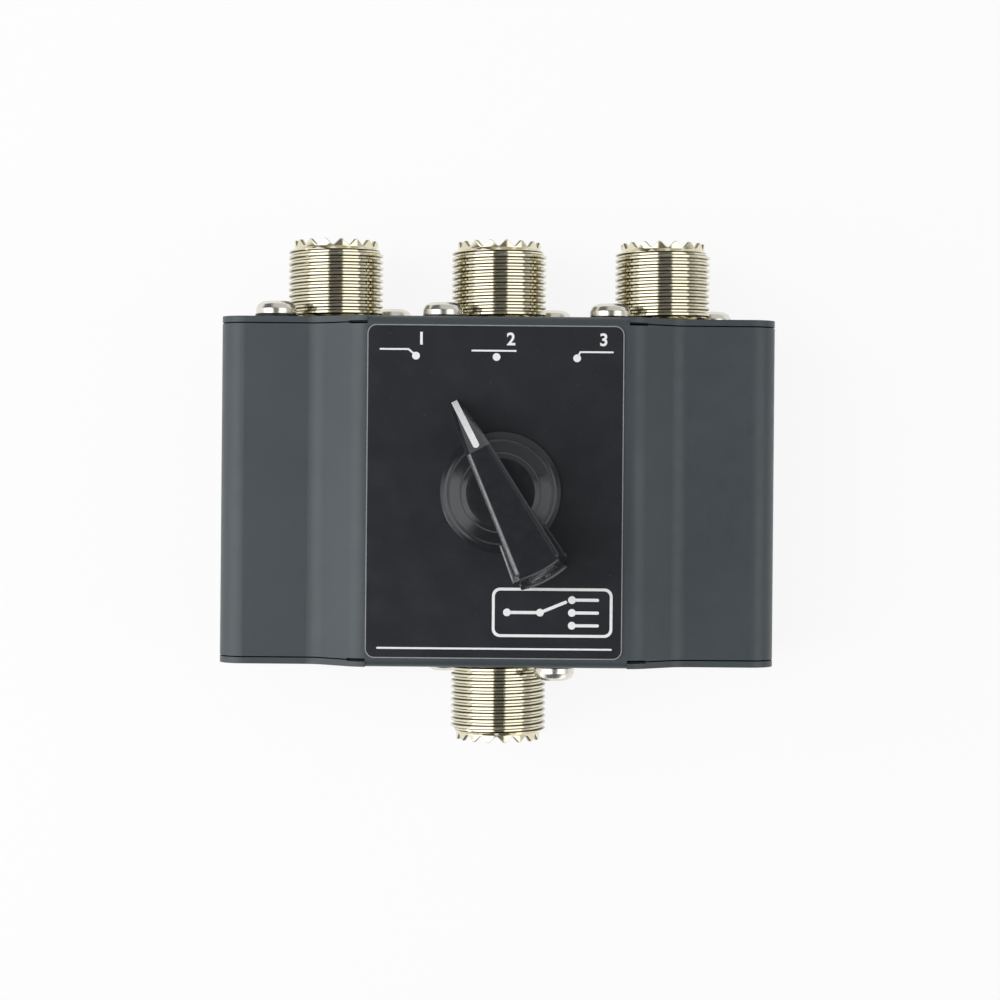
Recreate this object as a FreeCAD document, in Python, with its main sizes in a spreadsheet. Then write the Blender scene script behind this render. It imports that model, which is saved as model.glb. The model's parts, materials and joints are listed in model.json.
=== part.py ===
import FreeCAD, Part
import math
import os
import re
import Sketcher

# Three-way coaxial antenna switch: a folded case with a raised front, three antenna jacks on
# the upper end wall, one input jack on the lower one, and a rotary wafer switch between them.
# Millimetres and degrees. The case lies on its back: X to the right, Y towards the antenna
# jacks, Z up through the knob. The origin is the middle of the back plate's outer face.

SIZES = (
    # the folded case and its back plate
    ("case_width", 90.4, "outside, side to side"),
    ("case_length", 56.4, "outside, end wall to end wall"),
    ("wing_height", 29.8, "outer face of the low wings above the back"),
    ("front_height", 34.6, "outer face of the raised front above the back"),
    ("crest_half_width", 22.5, "middle to the fold at the edge of the raised front"),
    ("foot_half_width", 29.4, "middle to the fold where a slope meets its wing"),
    ("sheet_metal", 1.0, "sheet thickness of the case"),
    ("case_corner_radius", 4.0, "outside radius of the folds down to the side walls"),
    ("crest_radius", 4.5, "outside radius of the folds at the raised front"),
    ("foot_radius", 4.5, "outside radius of the folds at the foot of the slopes"),
    ("end_bend_radius", 1.3, "outside radius of the folds down to the end walls"),
    ("seam_gap", 0.2, "gap between the wings and the end walls"),
    ("relief_length", 3.0, "bend relief slots, along X"),
    ("relief_width", 0.5, "bend relief slots, along Y"),
    ("return_flange", 8.5, "flange folded inwards along the foot of each side wall"),
    ("return_radius", 1.4, "outside radius of the fold to that flange"),
    ("rear_plate", 1.2, "thickness of the back plate"),
    ("plate_corner_radius", 1.2, "corners of the back plate"),
    ("cover_screw_side", 5.2, "the back plate's screws from the side walls' outer faces"),
    ("cover_screw_end", 8.7, "the back plate's screws from the end walls' outer faces"),
    # small screws, nuts and the gaps that things are fitted with
    ("screw_diameter", 2.9, "shank of the jack screws and the back plate's screws"),
    ("screw_hole_gap", 0.15, "around a screw's shank, on the radius"),
    ("fit_gap", 0.03, "between a piece and the piece that holds it, on the radius"),
    ("pan_head_diameter", 6.4, "head of a jack screw"),
    ("pan_head_height", 2.2, "head of a jack screw"),
    ("screw_length", 7.0, "shank of a jack screw"),
    ("cross_recess", 1.2, "depth of the cross in a screw head"),
    ("cross_width", 0.9, "width of the cross in a screw head"),
    ("cross_span", 3.6, "length of the cross in a screw head"),
    ("washer_diameter", 6.9, "washer under a jack screw"),
    ("washer_thickness", 0.5, "washer under a jack screw"),
    ("nut_flats", 5.5, "across the flats of a jack screw's nut"),
    ("nut_height", 2.4, "height of a jack screw's nut"),
    ("flat_head_diameter", 5.5, "countersunk head in the back plate"),
    ("flat_head_height", 1.1, "countersunk head in the back plate"),
    ("cover_screw_length", 5.0, "length of the back plate's screws"),
    ("clinch_nut_diameter", 5.6, "nut pressed into the return flange"),
    ("clinch_nut_height", 2.4, "nut pressed into the return flange"),
    # the jacks
    ("flange_share", 6.1, "the end wall's spare width over the gap between two flanges"),
    ("jack_height", 15.9, "axes of the jacks above the back"),
    ("input_jack_x", 0.4, "input jack from the middle"),
    ("thread_diameter", 15.88, "outside of the 5/8-24 thread"),
    ("thread_pitch", 1.058, "24 turns to the inch"),
    ("thread_depth", 0.6, "crest to root"),
    ("jack_reach", 13.4, "tip of a jack beyond the end wall"),
    ("neck_length", 0.4, "plain neck between the wall and the thread"),
    ("rim_diameter", 14.1, "toothed rim at the tip, and the neck"),
    ("rim_length", 1.3, "from the last full turn of thread to the tip"),
    ("tooth_depth", 1.0, "notches in the rim"),
    ("tooth_count", 16, "notches around the rim"),
    ("notch_floor", 0.5, "width of a notch at its floor"),
    ("notch_mouth", 2.2, "width of a notch at the tip"),
    ("socket_diameter", 12.5, "inside of the barrel"),
    ("socket_depth", 8.5, "tip to the face of the insulator"),
    ("barrel_gap", 0.2, "around the thread where it passes the wall, on the radius"),
    ("jack_flange", 25.4, "side of the square flange inside the wall"),
    ("flange_thickness", 1.6, "square flange"),
    ("flange_hole_spacing", 18.25, "holes of the square flange"),
    ("flange_hole", 3.4, "holes of the square flange"),
    ("insulator_boss", 9.2, "insulator behind the flange, diameter"),
    ("insulator_tail", 2.0, "insulator behind the flange, length"),
    ("contact_diameter", 6.0, "centre contact"),
    ("contact_bore", 4.0, "bore for the plug's pin"),
    ("contact_depth", 8.5, "depth of that bore"),
    ("contact_slot", 0.4, "slots that let the contact spring"),
    ("contact_slot_depth", 4.5, "length of those slots"),
    ("cup_diameter", 3.6, "solder cup at the back of the contact"),
    ("cup_bore", 2.1, "bore of the solder cup"),
    ("cup_depth", 2.5, "depth of the solder cup"),
    ("cup_reach", 9.2, "wall's outer face to the end of the solder cup"),
    # the label
    ("label_width", 41.2, "label on the raised front"),
    ("label_length", 53.5, "label on the raised front"),
    ("label_x", -0.42, "middle of the label from the middle of the case"),
    ("label_corner_radius", 1.5, "corners of the label"),
    ("label_thickness", 0.25, "label"),
    # the rotary switch
    ("shaft_x", 0.5, "shaft from the middle of the case"),
    ("shaft_diameter", 6.3, "shaft"),
    ("shaft_gap", 0.05, "shaft in its bushing, on the radius"),
    ("flat_depth", 0.8, "flat on the shaft under the knob's screw"),
    ("bushing_diameter", 9.5, "threaded bushing"),
    ("bushing_flange", 13.0, "flange of the bushing under the switch plate"),
    ("bushing_flange_height", 1.2, "flange of the bushing"),
    ("bushing_rise", 3.1, "bushing above the label"),
    ("panel_hole_gap", 0.2, "around the bushing in the front and the label"),
    ("lock_washer_diameter", 12.4, "washer between the label and the nut"),
    ("lock_washer_thickness", 0.6, "washer between the label and the nut"),
    ("bushing_nut_flats", 11.0, "across the flats of the bushing's nut"),
    ("bushing_nut_height", 2.3, "height of the bushing's nut"),
    ("clip_thickness", 0.5, "retaining clip on the shaft"),
    ("clip_diameter", 9.4, "retaining clip on the shaft"),
    ("clip_groove", 0.5, "depth of its groove in the shaft"),
    ("clip_gap", 0.1, "clip above the bushing"),
    ("switch_plate_length", 38.0, "switch plate, along X"),
    ("switch_plate_width", 25.0, "switch plate, along Y"),
    ("switch_plate_thickness", 1.6, "switch plate"),
    ("tie_span", 31.0, "between the tie bolts"),
    ("tie_diameter", 2.5, "tie bolts"),
    ("tie_head_diameter", 4.5, "heads of the tie bolts"),
    ("tie_head_height", 1.6, "heads of the tie bolts"),
    ("spacer_diameter", 5.0, "spacer tubes on the tie bolts"),
    ("wheel_radius", 9.0, "detent wheel"),
    ("wheel_thickness", 1.8, "detent wheel"),
    ("wheel_gap", 0.4, "detent wheel below the bushing's flange"),
    ("detent_step", 30.0, "turn between two positions"),
    ("notch_radius", 1.25, "notches of the detent wheel"),
    ("notch_centre", 9.35, "radius on which the notches are struck"),
    ("nose_gap", 0.12, "spring's nose from the floor of its notch"),
    ("spring_thickness", 0.4, "leaf of the detent spring"),
    ("spring_height", 3.0, "width of the leaf, along the shaft"),
    ("spring_half_length", 11.6, "middle to an end of the leaf"),
    ("nose_half_width", 1.3, "nose of the leaf where it leaves the strip"),
    ("tab_x", 10.2, "tabs that hold the spring's ends"),
    ("tab_thickness", 1.2, "those tabs"),
    ("tab_depth", 5.0, "length of those tabs below the switch plate"),
    ("lug_radius", 11.2, "stop lug of the detent wheel"),
    ("lug_half_angle", 8.0, "stop lug"),
    ("stop_pin_radius", 0.9, "pins that stop the lug"),
    ("stop_pin_circle", 10.3, "radius on which the stop pins stand"),
    ("stop_gap", 1.5, "turn left between the lug and a pin at the last positions"),
    ("wafer_thickness", 2.0, "stator wafer"),
    ("wafer_radius", 15.0, "stator wafer"),
    ("wafer_ear_width", 8.0, "ears of the wafer round the tie bolts"),
    ("wafer_hole_gap", 0.3, "around the wafer's rotor, on the radius"),
    ("rotor_radius", 7.2, "insulating rotor inside the wafer"),
    ("blade_thickness", 0.3, "contact blade on the rotor"),
    ("blade_lift", 0.1, "blade above the face of the wafer"),
    ("blade_finger_radius", 9.6, "finger of the blade"),
    ("blade_finger_width", 2.4, "finger of the blade"),
    ("blade_inner_radius", 4.4, "ring of the blade"),
    ("contact_play", 0.15, "fixed contacts above the blade"),
    ("terminal_thickness", 0.5, "fixed contacts"),
    ("terminal_width", 2.6, "fixed contacts"),
    ("terminal_tip", 8.0, "inner end of an antenna contact from the shaft"),
    ("common_tip", 5.4, "inner end of the common contact from the shaft"),
    ("terminal_step", 10.3, "where a contact steps down to the wafer"),
    ("terminal_reach", 16.8, "outer end of a contact from the shaft"),
    ("rivet_circle", 12.4, "rivets from the shaft"),
    ("rivet_radius", 0.8, "shank of a rivet"),
    ("rivet_head_radius", 1.3, "head of a rivet"),
    ("rivet_head_height", 0.4, "head of a rivet"),
    ("wire_diameter", 1.6, "wires from the jacks to the wafer"),
    ("wire_lift", 0.03, "wire above its contact"),
    ("wire_bend", 6.5, "radius of the outer wires' bends"),
    ("wire_end", 14.3, "inner ends of the straight wires from the shaft"),
    ("shaft_tail", 2.5, "shaft below the wafer"),
    # the knob
    ("knob_angle", 27.5, "pointer from the middle, towards the first position"),
    ("knob_lift", 0.45, "knob above the label"),
    ("knob_height", 15.2, "knob, foot to flat top"),
    ("skirt_radius", 9.7, "foot of the knob's skirt"),
    ("skirt_foot", 0.8, "upright edge at the foot"),
    ("skirt_round", 0.4, "rounded edges of the skirt"),
    ("ledge_radius", 8.5, "ridge above the foot"),
    ("ledge_height", 1.6, "foot of that ridge above the knob's foot"),
    ("ridge_height", 3.1, "top of that ridge above the knob's foot"),
    ("ridge_rise", 0.9, "slope from that ridge up to the collar"),
    ("collar_radius", 6.35, "upright part between the ridge and the flat"),
    ("shoulder_radius", 5.4, "flat round the grip"),
    ("shoulder_height", 9.7, "that flat above the knob's foot"),
    ("shoulder_drop", 0.95, "slope round that flat, down to the collar"),
    ("nose_reach", 16.3, "axis to the tip of the pointer"),
    ("nose_width", 1.8, "tip of the pointer, at its foot"),
    ("tail_reach", 15.8, "axis to the end of the grip, at its foot"),
    ("tail_width", 9.74, "grip at the corners of its end, at its foot"),
    ("tail_lean", 2.45, "how far the end of the grip leans in towards the top"),
    ("side_lean", 1.2, "how far each side leans in at that end"),
    ("foot_corner", 1.6, "cut corners of that end along the grip, at its foot"),
    ("foot_corner_width", 0.67, "the same corners across the grip"),
    ("top_corner", 0.8, "cut corners of that end along the grip, at its top"),
    ("top_corner_width", 0.35, "the same corners across the grip"),
    ("facet_width", 4.0, "flat top where it turns down to the nose"),
    ("grip_foot", 1.6, "foot of the grip above the knob's foot"),
    ("facet_start", 7.5, "where the flat top turns down to the nose"),
    ("nose_height", 3.4, "tip of the nose above the knob's foot"),
    ("nut_gap", 0.3, "hollow of the knob around the bushing's nut and clip"),
    ("insert_radius", 4.2, "brass insert"),
    ("insert_height", 5.0, "brass insert"),
    ("grip_edge", 0.5, "rounded edges of the grip's top"),
    ("set_screw_radius", 1.5, "screw that clamps the knob"),
    ("set_screw_length", 6.0, "that screw"),
    ("set_screw_hole_gap", 0.2, "around that screw in the knob, on the radius"),
    ("set_screw_height", 2.5, "that screw above the foot of the insert"),
    ("hex_socket", 1.6, "across the flats of that screw's socket"),
    ("hex_socket_depth", 1.6, "depth of that socket"),
    ("line_start", 7.9, "inner end of the white line from the axis"),
    ("line_end", 16.0, "outer end of the white line from the axis"),
    ("line_width", 1.0, "white line"),
    ("line_depth", 0.4, "groove of the white line"),
)

# Sizes that follow from the ones above
DERIVED = (
    ("half_width", "case_width / 2"),
    ("half_length", "case_length / 2"),
    ("cover_screw_x", "half_width - cover_screw_side"),
    ("cover_screw_y", "half_length - cover_screw_end"),
    ("spare_width", "case_width - 2 * sheet_metal - 3 * jack_flange"),
    ("jack_spacing", "jack_flange + spare_width / flange_share"),
    ("wall_inside", "half_length - sheet_metal"),
    ("skin_end", "wall_inside - seam_gap"),
    ("band_half", "crest_half_width - relief_length / 2"),
    ("slope_run", "foot_half_width - crest_half_width"),
    ("slope_drop", "front_height - wing_height"),
    ("fold_set", "sheet_metal * (sqrt(slope_run ^ 2 + slope_drop ^ 2) - slope_run) / slope_drop"),
    ("front_inside", "front_height - sheet_metal"),
    ("wing_inside", "wing_height - sheet_metal"),
    ("label_top", "front_height + label_thickness"),
    ("major_radius", "thread_diameter / 2"),
    ("root_radius", "major_radius - thread_depth"),
    ("rim_outer", "rim_diameter / 2"),
    ("socket_radius", "socket_diameter / 2"),
    ("flange_back", "-sheet_metal - flange_thickness"),
    ("insulator_face", "jack_reach - socket_depth"),
    ("insulator_back", "flange_back - insulator_tail"),
    ("hole_pitch", "flange_hole_spacing / 2"),
    ("screw_radius", "screw_diameter / 2"),
    ("plate_top", "front_inside"),
    ("plate_under", "plate_top - switch_plate_thickness"),
    ("bushing_under", "plate_under - bushing_flange_height"),
    ("bushing_top", "label_top + bushing_rise"),
    ("wheel_top", "bushing_under - wheel_gap"),
    ("wheel_under", "wheel_top - wheel_thickness"),
    ("wire_radius", "wire_diameter / 2"),
    ("terminal_top", "jack_height - wire_radius - wire_lift"),
    ("wafer_top", "terminal_top - terminal_thickness"),
    ("wafer_under", "wafer_top - wafer_thickness"),
    ("shaft_under", "wafer_under - shaft_tail"),
    ("shaft_radius", "shaft_diameter / 2"),
    ("step_rise", "blade_lift + blade_thickness + contact_play"),
    ("knob_foot", "label_top + knob_lift"),
    ("clip_under", "bushing_top + clip_gap"),
    ("insert_foot", "clip_under + clip_thickness + nut_gap"),
    ("nut_room", "bushing_nut_flats / sqrt(3) + nut_gap"),
    ("nut_room_top", "lock_washer_thickness + bushing_nut_height + nut_gap - knob_lift"),
    ("clip_room", "clip_diameter / 2 + nut_gap"),
    ("insert_top", "insert_foot + insert_height"),
    ("facet_fall", "(knob_height - nose_height) / (nose_reach - facet_start)"),
    ("top_tail", "tail_reach - tail_lean"),
    ("top_width", "tail_width - 2 * side_lean"),
    ("top_taper", "(top_width - facet_width) / (facet_start + top_tail - top_corner)"),
    ("top_nose_width", "facet_width - (nose_reach - facet_start) * top_taper"),
    ("nose_notch_floor", "notch_centre - notch_radius + nose_gap"),
    ("leaf_inside", "wheel_radius + notch_radius / 2"),
    ("spring_under", "wheel_under + (wheel_thickness - spring_height) / 2"),
)

doc = FreeCAD.newDocument("AntennaSwitch")
sheet = doc.addObject("Spreadsheet::Sheet", "Sizes")
for row, (alias, size, meaning) in enumerate(SIZES, start=1):
    sheet.set(f"A{row}", alias)
    sheet.set(f"B{row}", str(size))
    sheet.set(f"C{row}", meaning)
    sheet.setAlias(f"B{row}", alias)
for row, (alias, formula) in enumerate(DERIVED, start=len(SIZES) + 1):
    sheet.set(f"A{row}", alias)
    sheet.set(f"B{row}", "=" + formula)
    sheet.setAlias(f"B{row}", alias)
doc.recompute()

ALIASES = {entry[0] for entry in SIZES + DERIVED}
NODES = {}


def bound(text):
    """The expression with each size's name pointed at the spreadsheet."""
    return re.sub(r"[A-Za-z_]+", lambda word: ("Sizes." if word[0] in ALIASES else "") + word[0], text)


def value(text):
    """What the expression is worth now."""
    return float(sheet.evalExpression(bound(text)))


def bind(obj, **expressions):
    """Ties properties to expressions of the spreadsheet's sizes."""
    for name, text in expressions.items():
        obj.setExpression(name.replace("__", "."), bound(text))


def node(obj, label):
    """Names the object that stands for one sub-part."""
    obj.Label = label
    NODES[label] = obj
    return obj


def place(obj, x="0", y="0", z="0", turn=FreeCAD.Rotation()):
    """Puts the object at three expressions, after a fixed turn."""
    obj.Placement = FreeCAD.Placement(FreeCAD.Vector(value(x), value(y), value(z)), turn)
    bind(obj, Placement__Base__x=x, Placement__Base__y=y, Placement__Base__z=z)
    return obj


# ---------------------------------------------------------------- sketches and features


def new_body(name):
    return doc.addObject("PartDesign::Body", name)


def origin_part(body, role):
    return next(part for part in body.Origin.OriginFeatures if part.Role == role)


def new_sketch(body, plane="XY_Plane", offset="0"):
    """A sketch on one of the body's own planes, moved along the plane's normal."""
    sketch = body.newObject("Sketcher::SketchObject", "Sketch")
    sketch.AttachmentSupport = [(origin_part(body, plane), "")]
    sketch.MapMode = "FlatFace"
    bind(sketch, AttachmentOffset__Base__z=offset)
    return sketch


def outline(sketch, corners):
    """A closed outline whose corners are each held by two expressions."""
    points = [FreeCAD.Vector(value(x), value(y), 0) for x, y in corners]
    count, first = len(points), sketch.GeometryCount
    for index, start in enumerate(points):
        sketch.addGeometry(Part.LineSegment(start, points[(index + 1) % count]), False)
    rules = []
    for index, point in enumerate(points):
        line, following = first + index, first + (index + 1) % count
        rules.append(Sketcher.Constraint("Coincident", line, 2, following, 1))
        rules.append(Sketcher.Constraint("DistanceX", -1, 1, line, 1, point.x))
        rules.append(Sketcher.Constraint("DistanceY", -1, 1, line, 1, point.y))
    numbers = sketch.addConstraint(rules)
    for index, (x, y) in enumerate(corners):
        sketch.setExpression(f"Constraints[{numbers[3 * index + 1]}]", bound(x))
        sketch.setExpression(f"Constraints[{numbers[3 * index + 2]}]", bound(y))


def circle(sketch, x, y, radius):
    """A circle whose centre and radius are held by expressions."""
    centre = FreeCAD.Vector(value(x), value(y), 0)
    number = sketch.addGeometry(Part.Circle(centre, FreeCAD.Vector(0, 0, 1), value(radius)), False)
    rules = sketch.addConstraint(
        [
            Sketcher.Constraint("DistanceX", -1, 1, number, 3, centre.x),
            Sketcher.Constraint("DistanceY", -1, 1, number, 3, centre.y),
            Sketcher.Constraint("Radius", number, value(radius)),
        ]
    )
    for rule, text in zip(rules, (x, y, radius)):
        sketch.setExpression(f"Constraints[{rule}]", bound(text))


def box_outline(x0, y0, x1, y1):
    return [(x0, y0), (x1, y0), (x1, y1), (x0, y1)]


def pad(body, sketch, length, reverse=False, both_ways=False):
    feature = body.newObject("PartDesign::Pad", "Pad")
    feature.Profile = sketch
    feature.SideType = "Symmetric" if both_ways else "One side"
    feature.Reversed = reverse
    bind(feature, Length=length)
    doc.recompute()
    return feature


def pocket(body, sketch, depth, reverse=False, both_ways=False):
    """Cuts, and stops the build if nothing was cut."""
    before = body.Shape.Volume
    feature = body.newObject("PartDesign::Pocket", "Pocket")
    feature.Profile = sketch
    feature.SideType = "Symmetric" if both_ways else "One side"
    feature.Reversed = reverse
    bind(feature, Length=depth)
    doc.recompute()
    if body.Shape.Volume >= before:
        raise RuntimeError(f"{body.Name}: {feature.Name} cuts nothing")
    return feature


def turned(body, corners):
    """Adds what the outline makes when it turns about the body's Z axis."""
    sketch = new_sketch(body, "XZ_Plane")
    outline(sketch, corners)
    feature = body.newObject("PartDesign::Revolution", "Revolution")
    feature.Profile = sketch
    feature.ReferenceAxis = (sketch, ["V_Axis"])
    feature.Angle = 360
    doc.recompute()
    return feature


def grooved(body, corners):
    """Takes away what the outline makes when it turns about the body's Z axis."""
    before = body.Shape.Volume
    sketch = new_sketch(body, "XZ_Plane")
    outline(sketch, corners)
    feature = body.newObject("PartDesign::Groove", "Groove")
    feature.Profile = sketch
    feature.ReferenceAxis = (sketch, ["V_Axis"])
    feature.Angle = 360
    doc.recompute()
    if body.Shape.Volume >= before:
        raise RuntimeError(f"{body.Name}: {feature.Name} cuts nothing")
    return feature


def around(body, feature, count):
    """Repeats a feature around the body's Z axis."""
    pattern = body.newObject("PartDesign::PolarPattern", "PolarPattern")
    pattern.Originals = [feature]
    pattern.Axis = (origin_part(body, "Z_Axis"), [""])
    pattern.Angle = 360
    bind(pattern, Occurrences=count)
    body.Tip = pattern
    doc.recompute()
    return pattern


def rounded(body, radius, wanted):
    """Rounds the edges whose middle and direction the wanted function accepts."""
    names = []
    for number, edge in enumerate(body.Shape.Edges, start=1):
        if isinstance(edge.Curve, Part.Line) and edge.Length > 1e-6:
            middle = edge.valueAt((edge.FirstParameter + edge.LastParameter) / 2)
            if wanted(middle, edge.tangentAt(edge.FirstParameter)):
                names.append(f"Edge{number}")
    if not names:
        raise RuntimeError(f"{body.Name}: no edge to round")
    base = body.Tip
    feature = body.newObject("PartDesign::Fillet", "Fillet")
    feature.Base = (base, names)
    bind(feature, Radius=radius)
    doc.recompute()
    return feature


def near(number, text):
    return abs(number - value(text)) < 1e-4


# ---------------------------------------------------------------- plain solids


def cylinder(radius, height, x="0", y="0", z="0", turn=FreeCAD.Rotation()):
    solid = doc.addObject("Part::Cylinder", "Cylinder")
    bind(solid, Radius=radius, Height=height)
    return place(solid, x, y, z, turn)


def block(length, width, height, x="0", y="0", z="0", turn=FreeCAD.Rotation()):
    solid = doc.addObject("Part::Box", "Box")
    bind(solid, Length=length, Width=width, Height=height)
    return place(solid, x, y, z, turn)


def hexagon(flats, height, x="0", y="0", z="0", turn=FreeCAD.Rotation()):
    solid = doc.addObject("Part::Prism", "Prism")
    solid.Polygon = 6
    bind(solid, Circumradius=f"({flats}) / sqrt(3)", Height=height)
    return place(solid, x, y, z, turn)


def cut(base, tool):
    result = doc.addObject("Part::Cut", "Cut")
    result.Base = base
    result.Tool = tool
    return result


def fused(solids):
    result = doc.addObject("Part::MultiFuse", "Fusion")
    result.Shapes = solids
    return result


def group(solids, label):
    """Several separate solids in one node."""
    result = doc.addObject("Part::Compound", "Compound")
    result.Links = solids
    return node(result, label)


def ring(outer, inner, height, x="0", y="0", z="0", turn=FreeCAD.Rotation()):
    """A tube or washer, cut right through."""
    solid = cylinder(outer, height, x, y, z, turn)
    hole = cylinder(inner, height, x, y, z, turn)
    return cut(solid, hole)


# ---------------------------------------------------------------- the case


def case_profile():
    """Outer corners of the case seen from an end, from the foot of the left wall."""
    return [
        ("-half_width", "rear_plate"),
        ("-half_width", "wing_height"),
        ("-foot_half_width", "wing_height"),
        ("-crest_half_width", "front_height"),
        ("crest_half_width", "front_height"),
        ("foot_half_width", "wing_height"),
        ("half_width", "wing_height"),
        ("half_width", "rear_plate"),
    ]


def skin_profile():
    """The folded strip that makes the front, the slopes, the wings and the side walls."""
    flange_edge = "half_width - return_flange"
    flange_top = "rear_plate + sheet_metal"
    return case_profile() + [
        (flange_edge, "rear_plate"),
        (flange_edge, flange_top),
        ("half_width - sheet_metal", flange_top),
        ("half_width - sheet_metal", "wing_inside"),
        ("foot_half_width - fold_set", "wing_inside"),
        ("crest_half_width - fold_set", "front_inside"),
        ("-crest_half_width + fold_set", "front_inside"),
        ("-foot_half_width + fold_set", "wing_inside"),
        ("-half_width + sheet_metal", "wing_inside"),
        ("-half_width + sheet_metal", flange_top),
        ("-(half_width - return_flange)", flange_top),
        ("-(half_width - return_flange)", "rear_plate"),
    ]


def fold_rounder(body, radius, x, z):
    """Rounds the two folds that run along Y at plus and minus x."""
    rounded(
        body,
        radius,
        lambda middle, way: abs(way.y) > 0.999 and near(abs(middle.x), x) and near(middle.z, z),
    )


def end_hole(body, wall_y, x, z, radius):
    """A round hole through an end wall; wall_y is the wall's face nearer to minus Y."""
    sketch = new_sketch(body, "XZ_Plane", f"-({wall_y}) + sheet_metal / 2")
    circle(sketch, x, z, radius)
    pocket(body, sketch, "2 * sheet_metal", reverse=False)


JACKS = (
    # name, X of the axis, the side of the case it stands on
    ("1", "-jack_spacing", 1),
    ("2", "0", 1),
    ("3", "jack_spacing", 1),
    ("input", "input_jack_x", -1),
)
FIXED_CORNERS = (-1, 1)  # each flange is screwed at two opposite corners


def screw_places():
    """X, height and side of each jack screw: one high and one low at every flange."""
    for _, jack_x, side in JACKS:
        for corner in FIXED_CORNERS:
            yield (f"{jack_x} + {side * corner} * hole_pitch", f"jack_height - {corner} * hole_pitch", side)


def front_case():
    body = new_body("FrontCase")
    strip = new_sketch(body, "XZ_Plane")
    outline(strip, skin_profile())
    pad(body, strip, "2 * skin_end", both_ways=True)
    band = new_sketch(body, "XY_Plane", "front_inside")
    outline(band, box_outline("-band_half", "-half_length", "band_half", "half_length"))
    pad(body, band, "sheet_metal")
    for wall_offset in ("-half_length", "wall_inside"):
        wall = new_sketch(body, "XZ_Plane", wall_offset)
        outline(wall, case_profile())
        pad(body, wall, "sheet_metal")
    for side in (-1, 1):
        wedge = new_sketch(body, "YZ_Plane")
        bend_corner(wedge, side)
        pocket(body, wedge, "2 * band_half", both_ways=True)
    for side in (-1, 1):
        for end in (-1, 1):
            slot = new_sketch(body, "XY_Plane", "front_inside - sheet_metal")
            middle_y = f"{end} * (wall_inside - seam_gap / 2)"
            outline(
                slot,
                box_outline(
                    f"{side} * crest_half_width - relief_length / 2",
                    f"{middle_y} - relief_width / 2",
                    f"{side} * crest_half_width + relief_length / 2",
                    f"{middle_y} + relief_width / 2",
                ),
            )
            pocket(body, slot, "3 * sheet_metal", reverse=True)
    fold_rounder(body, "case_corner_radius", "half_width", "wing_height")
    fold_rounder(body, "case_corner_radius - sheet_metal", "half_width - sheet_metal", "wing_inside")
    fold_rounder(body, "crest_radius", "crest_half_width", "front_height")
    fold_rounder(body, "crest_radius - sheet_metal", "crest_half_width - fold_set", "front_inside")
    fold_rounder(body, "foot_radius", "foot_half_width", "wing_height")
    fold_rounder(body, "foot_radius + sheet_metal", "foot_half_width - fold_set", "wing_inside")
    fold_rounder(body, "return_radius", "half_width", "rear_plate")
    fold_rounder(body, "return_radius - sheet_metal", "half_width - sheet_metal", "rear_plate + sheet_metal")
    for _, jack_x, side in JACKS:
        wall_y = "wall_inside" if side > 0 else "-half_length"
        end_hole(body, wall_y, jack_x, "jack_height", "major_radius + barrel_gap")
    for x, z, side in screw_places():
        wall_y = "wall_inside" if side > 0 else "-half_length"
        end_hole(body, wall_y, x, z, "screw_radius + screw_hole_gap")
    shaft_hole = new_sketch(body, "XY_Plane", "front_inside - sheet_metal")
    circle(shaft_hole, "shaft_x", "0", "bushing_diameter / 2 + panel_hole_gap")
    pocket(body, shaft_hole, "3 * sheet_metal", reverse=True)
    nut_holes = new_sketch(body, "XY_Plane", "rear_plate - sheet_metal")
    for x, y in cover_screw_places():
        circle(nut_holes, x, y, "clinch_nut_diameter / 2 - sheet_metal / 2")
    pocket(body, nut_holes, "3 * sheet_metal", reverse=True)
    node(body, "front_case")


def bend_corner(sketch, side):
    """The corner outside the quarter round where the front folds down to an end wall."""
    y, z, r = side * value("half_length"), value("front_height"), value("end_bend_radius")
    centre = FreeCAD.Vector(y - side * r, z - r, 0)
    on_wall = FreeCAD.Vector(y, z - r, 0)
    on_front = FreeCAD.Vector(y - side * r, z, 0)
    tip = FreeCAD.Vector(y, z, 0)
    start, stop = (0, math.pi / 2) if side > 0 else (math.pi / 2, math.pi)
    arc = sketch.addGeometry(
        Part.ArcOfCircle(Part.Circle(centre, FreeCAD.Vector(0, 0, 1), r), start, stop), False
    )
    wall_end, front_end = (1, 2) if side > 0 else (2, 1)
    down = sketch.addGeometry(Part.LineSegment(on_wall, tip), False)
    across = sketch.addGeometry(Part.LineSegment(tip, on_front), False)
    rules = sketch.addConstraint(
        [
            Sketcher.Constraint("Coincident", down, 2, across, 1),
            Sketcher.Constraint("Coincident", down, 1, arc, wall_end),
            Sketcher.Constraint("Coincident", across, 2, arc, front_end),
            Sketcher.Constraint("Vertical", down),
            Sketcher.Constraint("Horizontal", across),
            Sketcher.Constraint("DistanceX", -1, 1, down, 1, on_wall.x),
            Sketcher.Constraint("DistanceY", -1, 1, down, 1, on_wall.y),
            Sketcher.Constraint("DistanceX", -1, 1, across, 2, on_front.x),
            Sketcher.Constraint("DistanceX", -1, 1, arc, 3, centre.x),
            Sketcher.Constraint("DistanceY", -1, 1, arc, 3, centre.y),
        ]
    )
    texts = (
        f"{side} * half_length",
        "front_height - end_bend_radius",
        f"{side} * (half_length - end_bend_radius)",
        f"{side} * (half_length - end_bend_radius)",
        "front_height - end_bend_radius",
    )
    for rule, text in zip(rules[5:], texts):
        sketch.setExpression(f"Constraints[{rule}]", bound(text))


def cover_screw_places():
    for x_side in (-1, 1):
        for y_side in (-1, 1):
            yield f"{x_side} * cover_screw_x", f"{y_side} * cover_screw_y"


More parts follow.
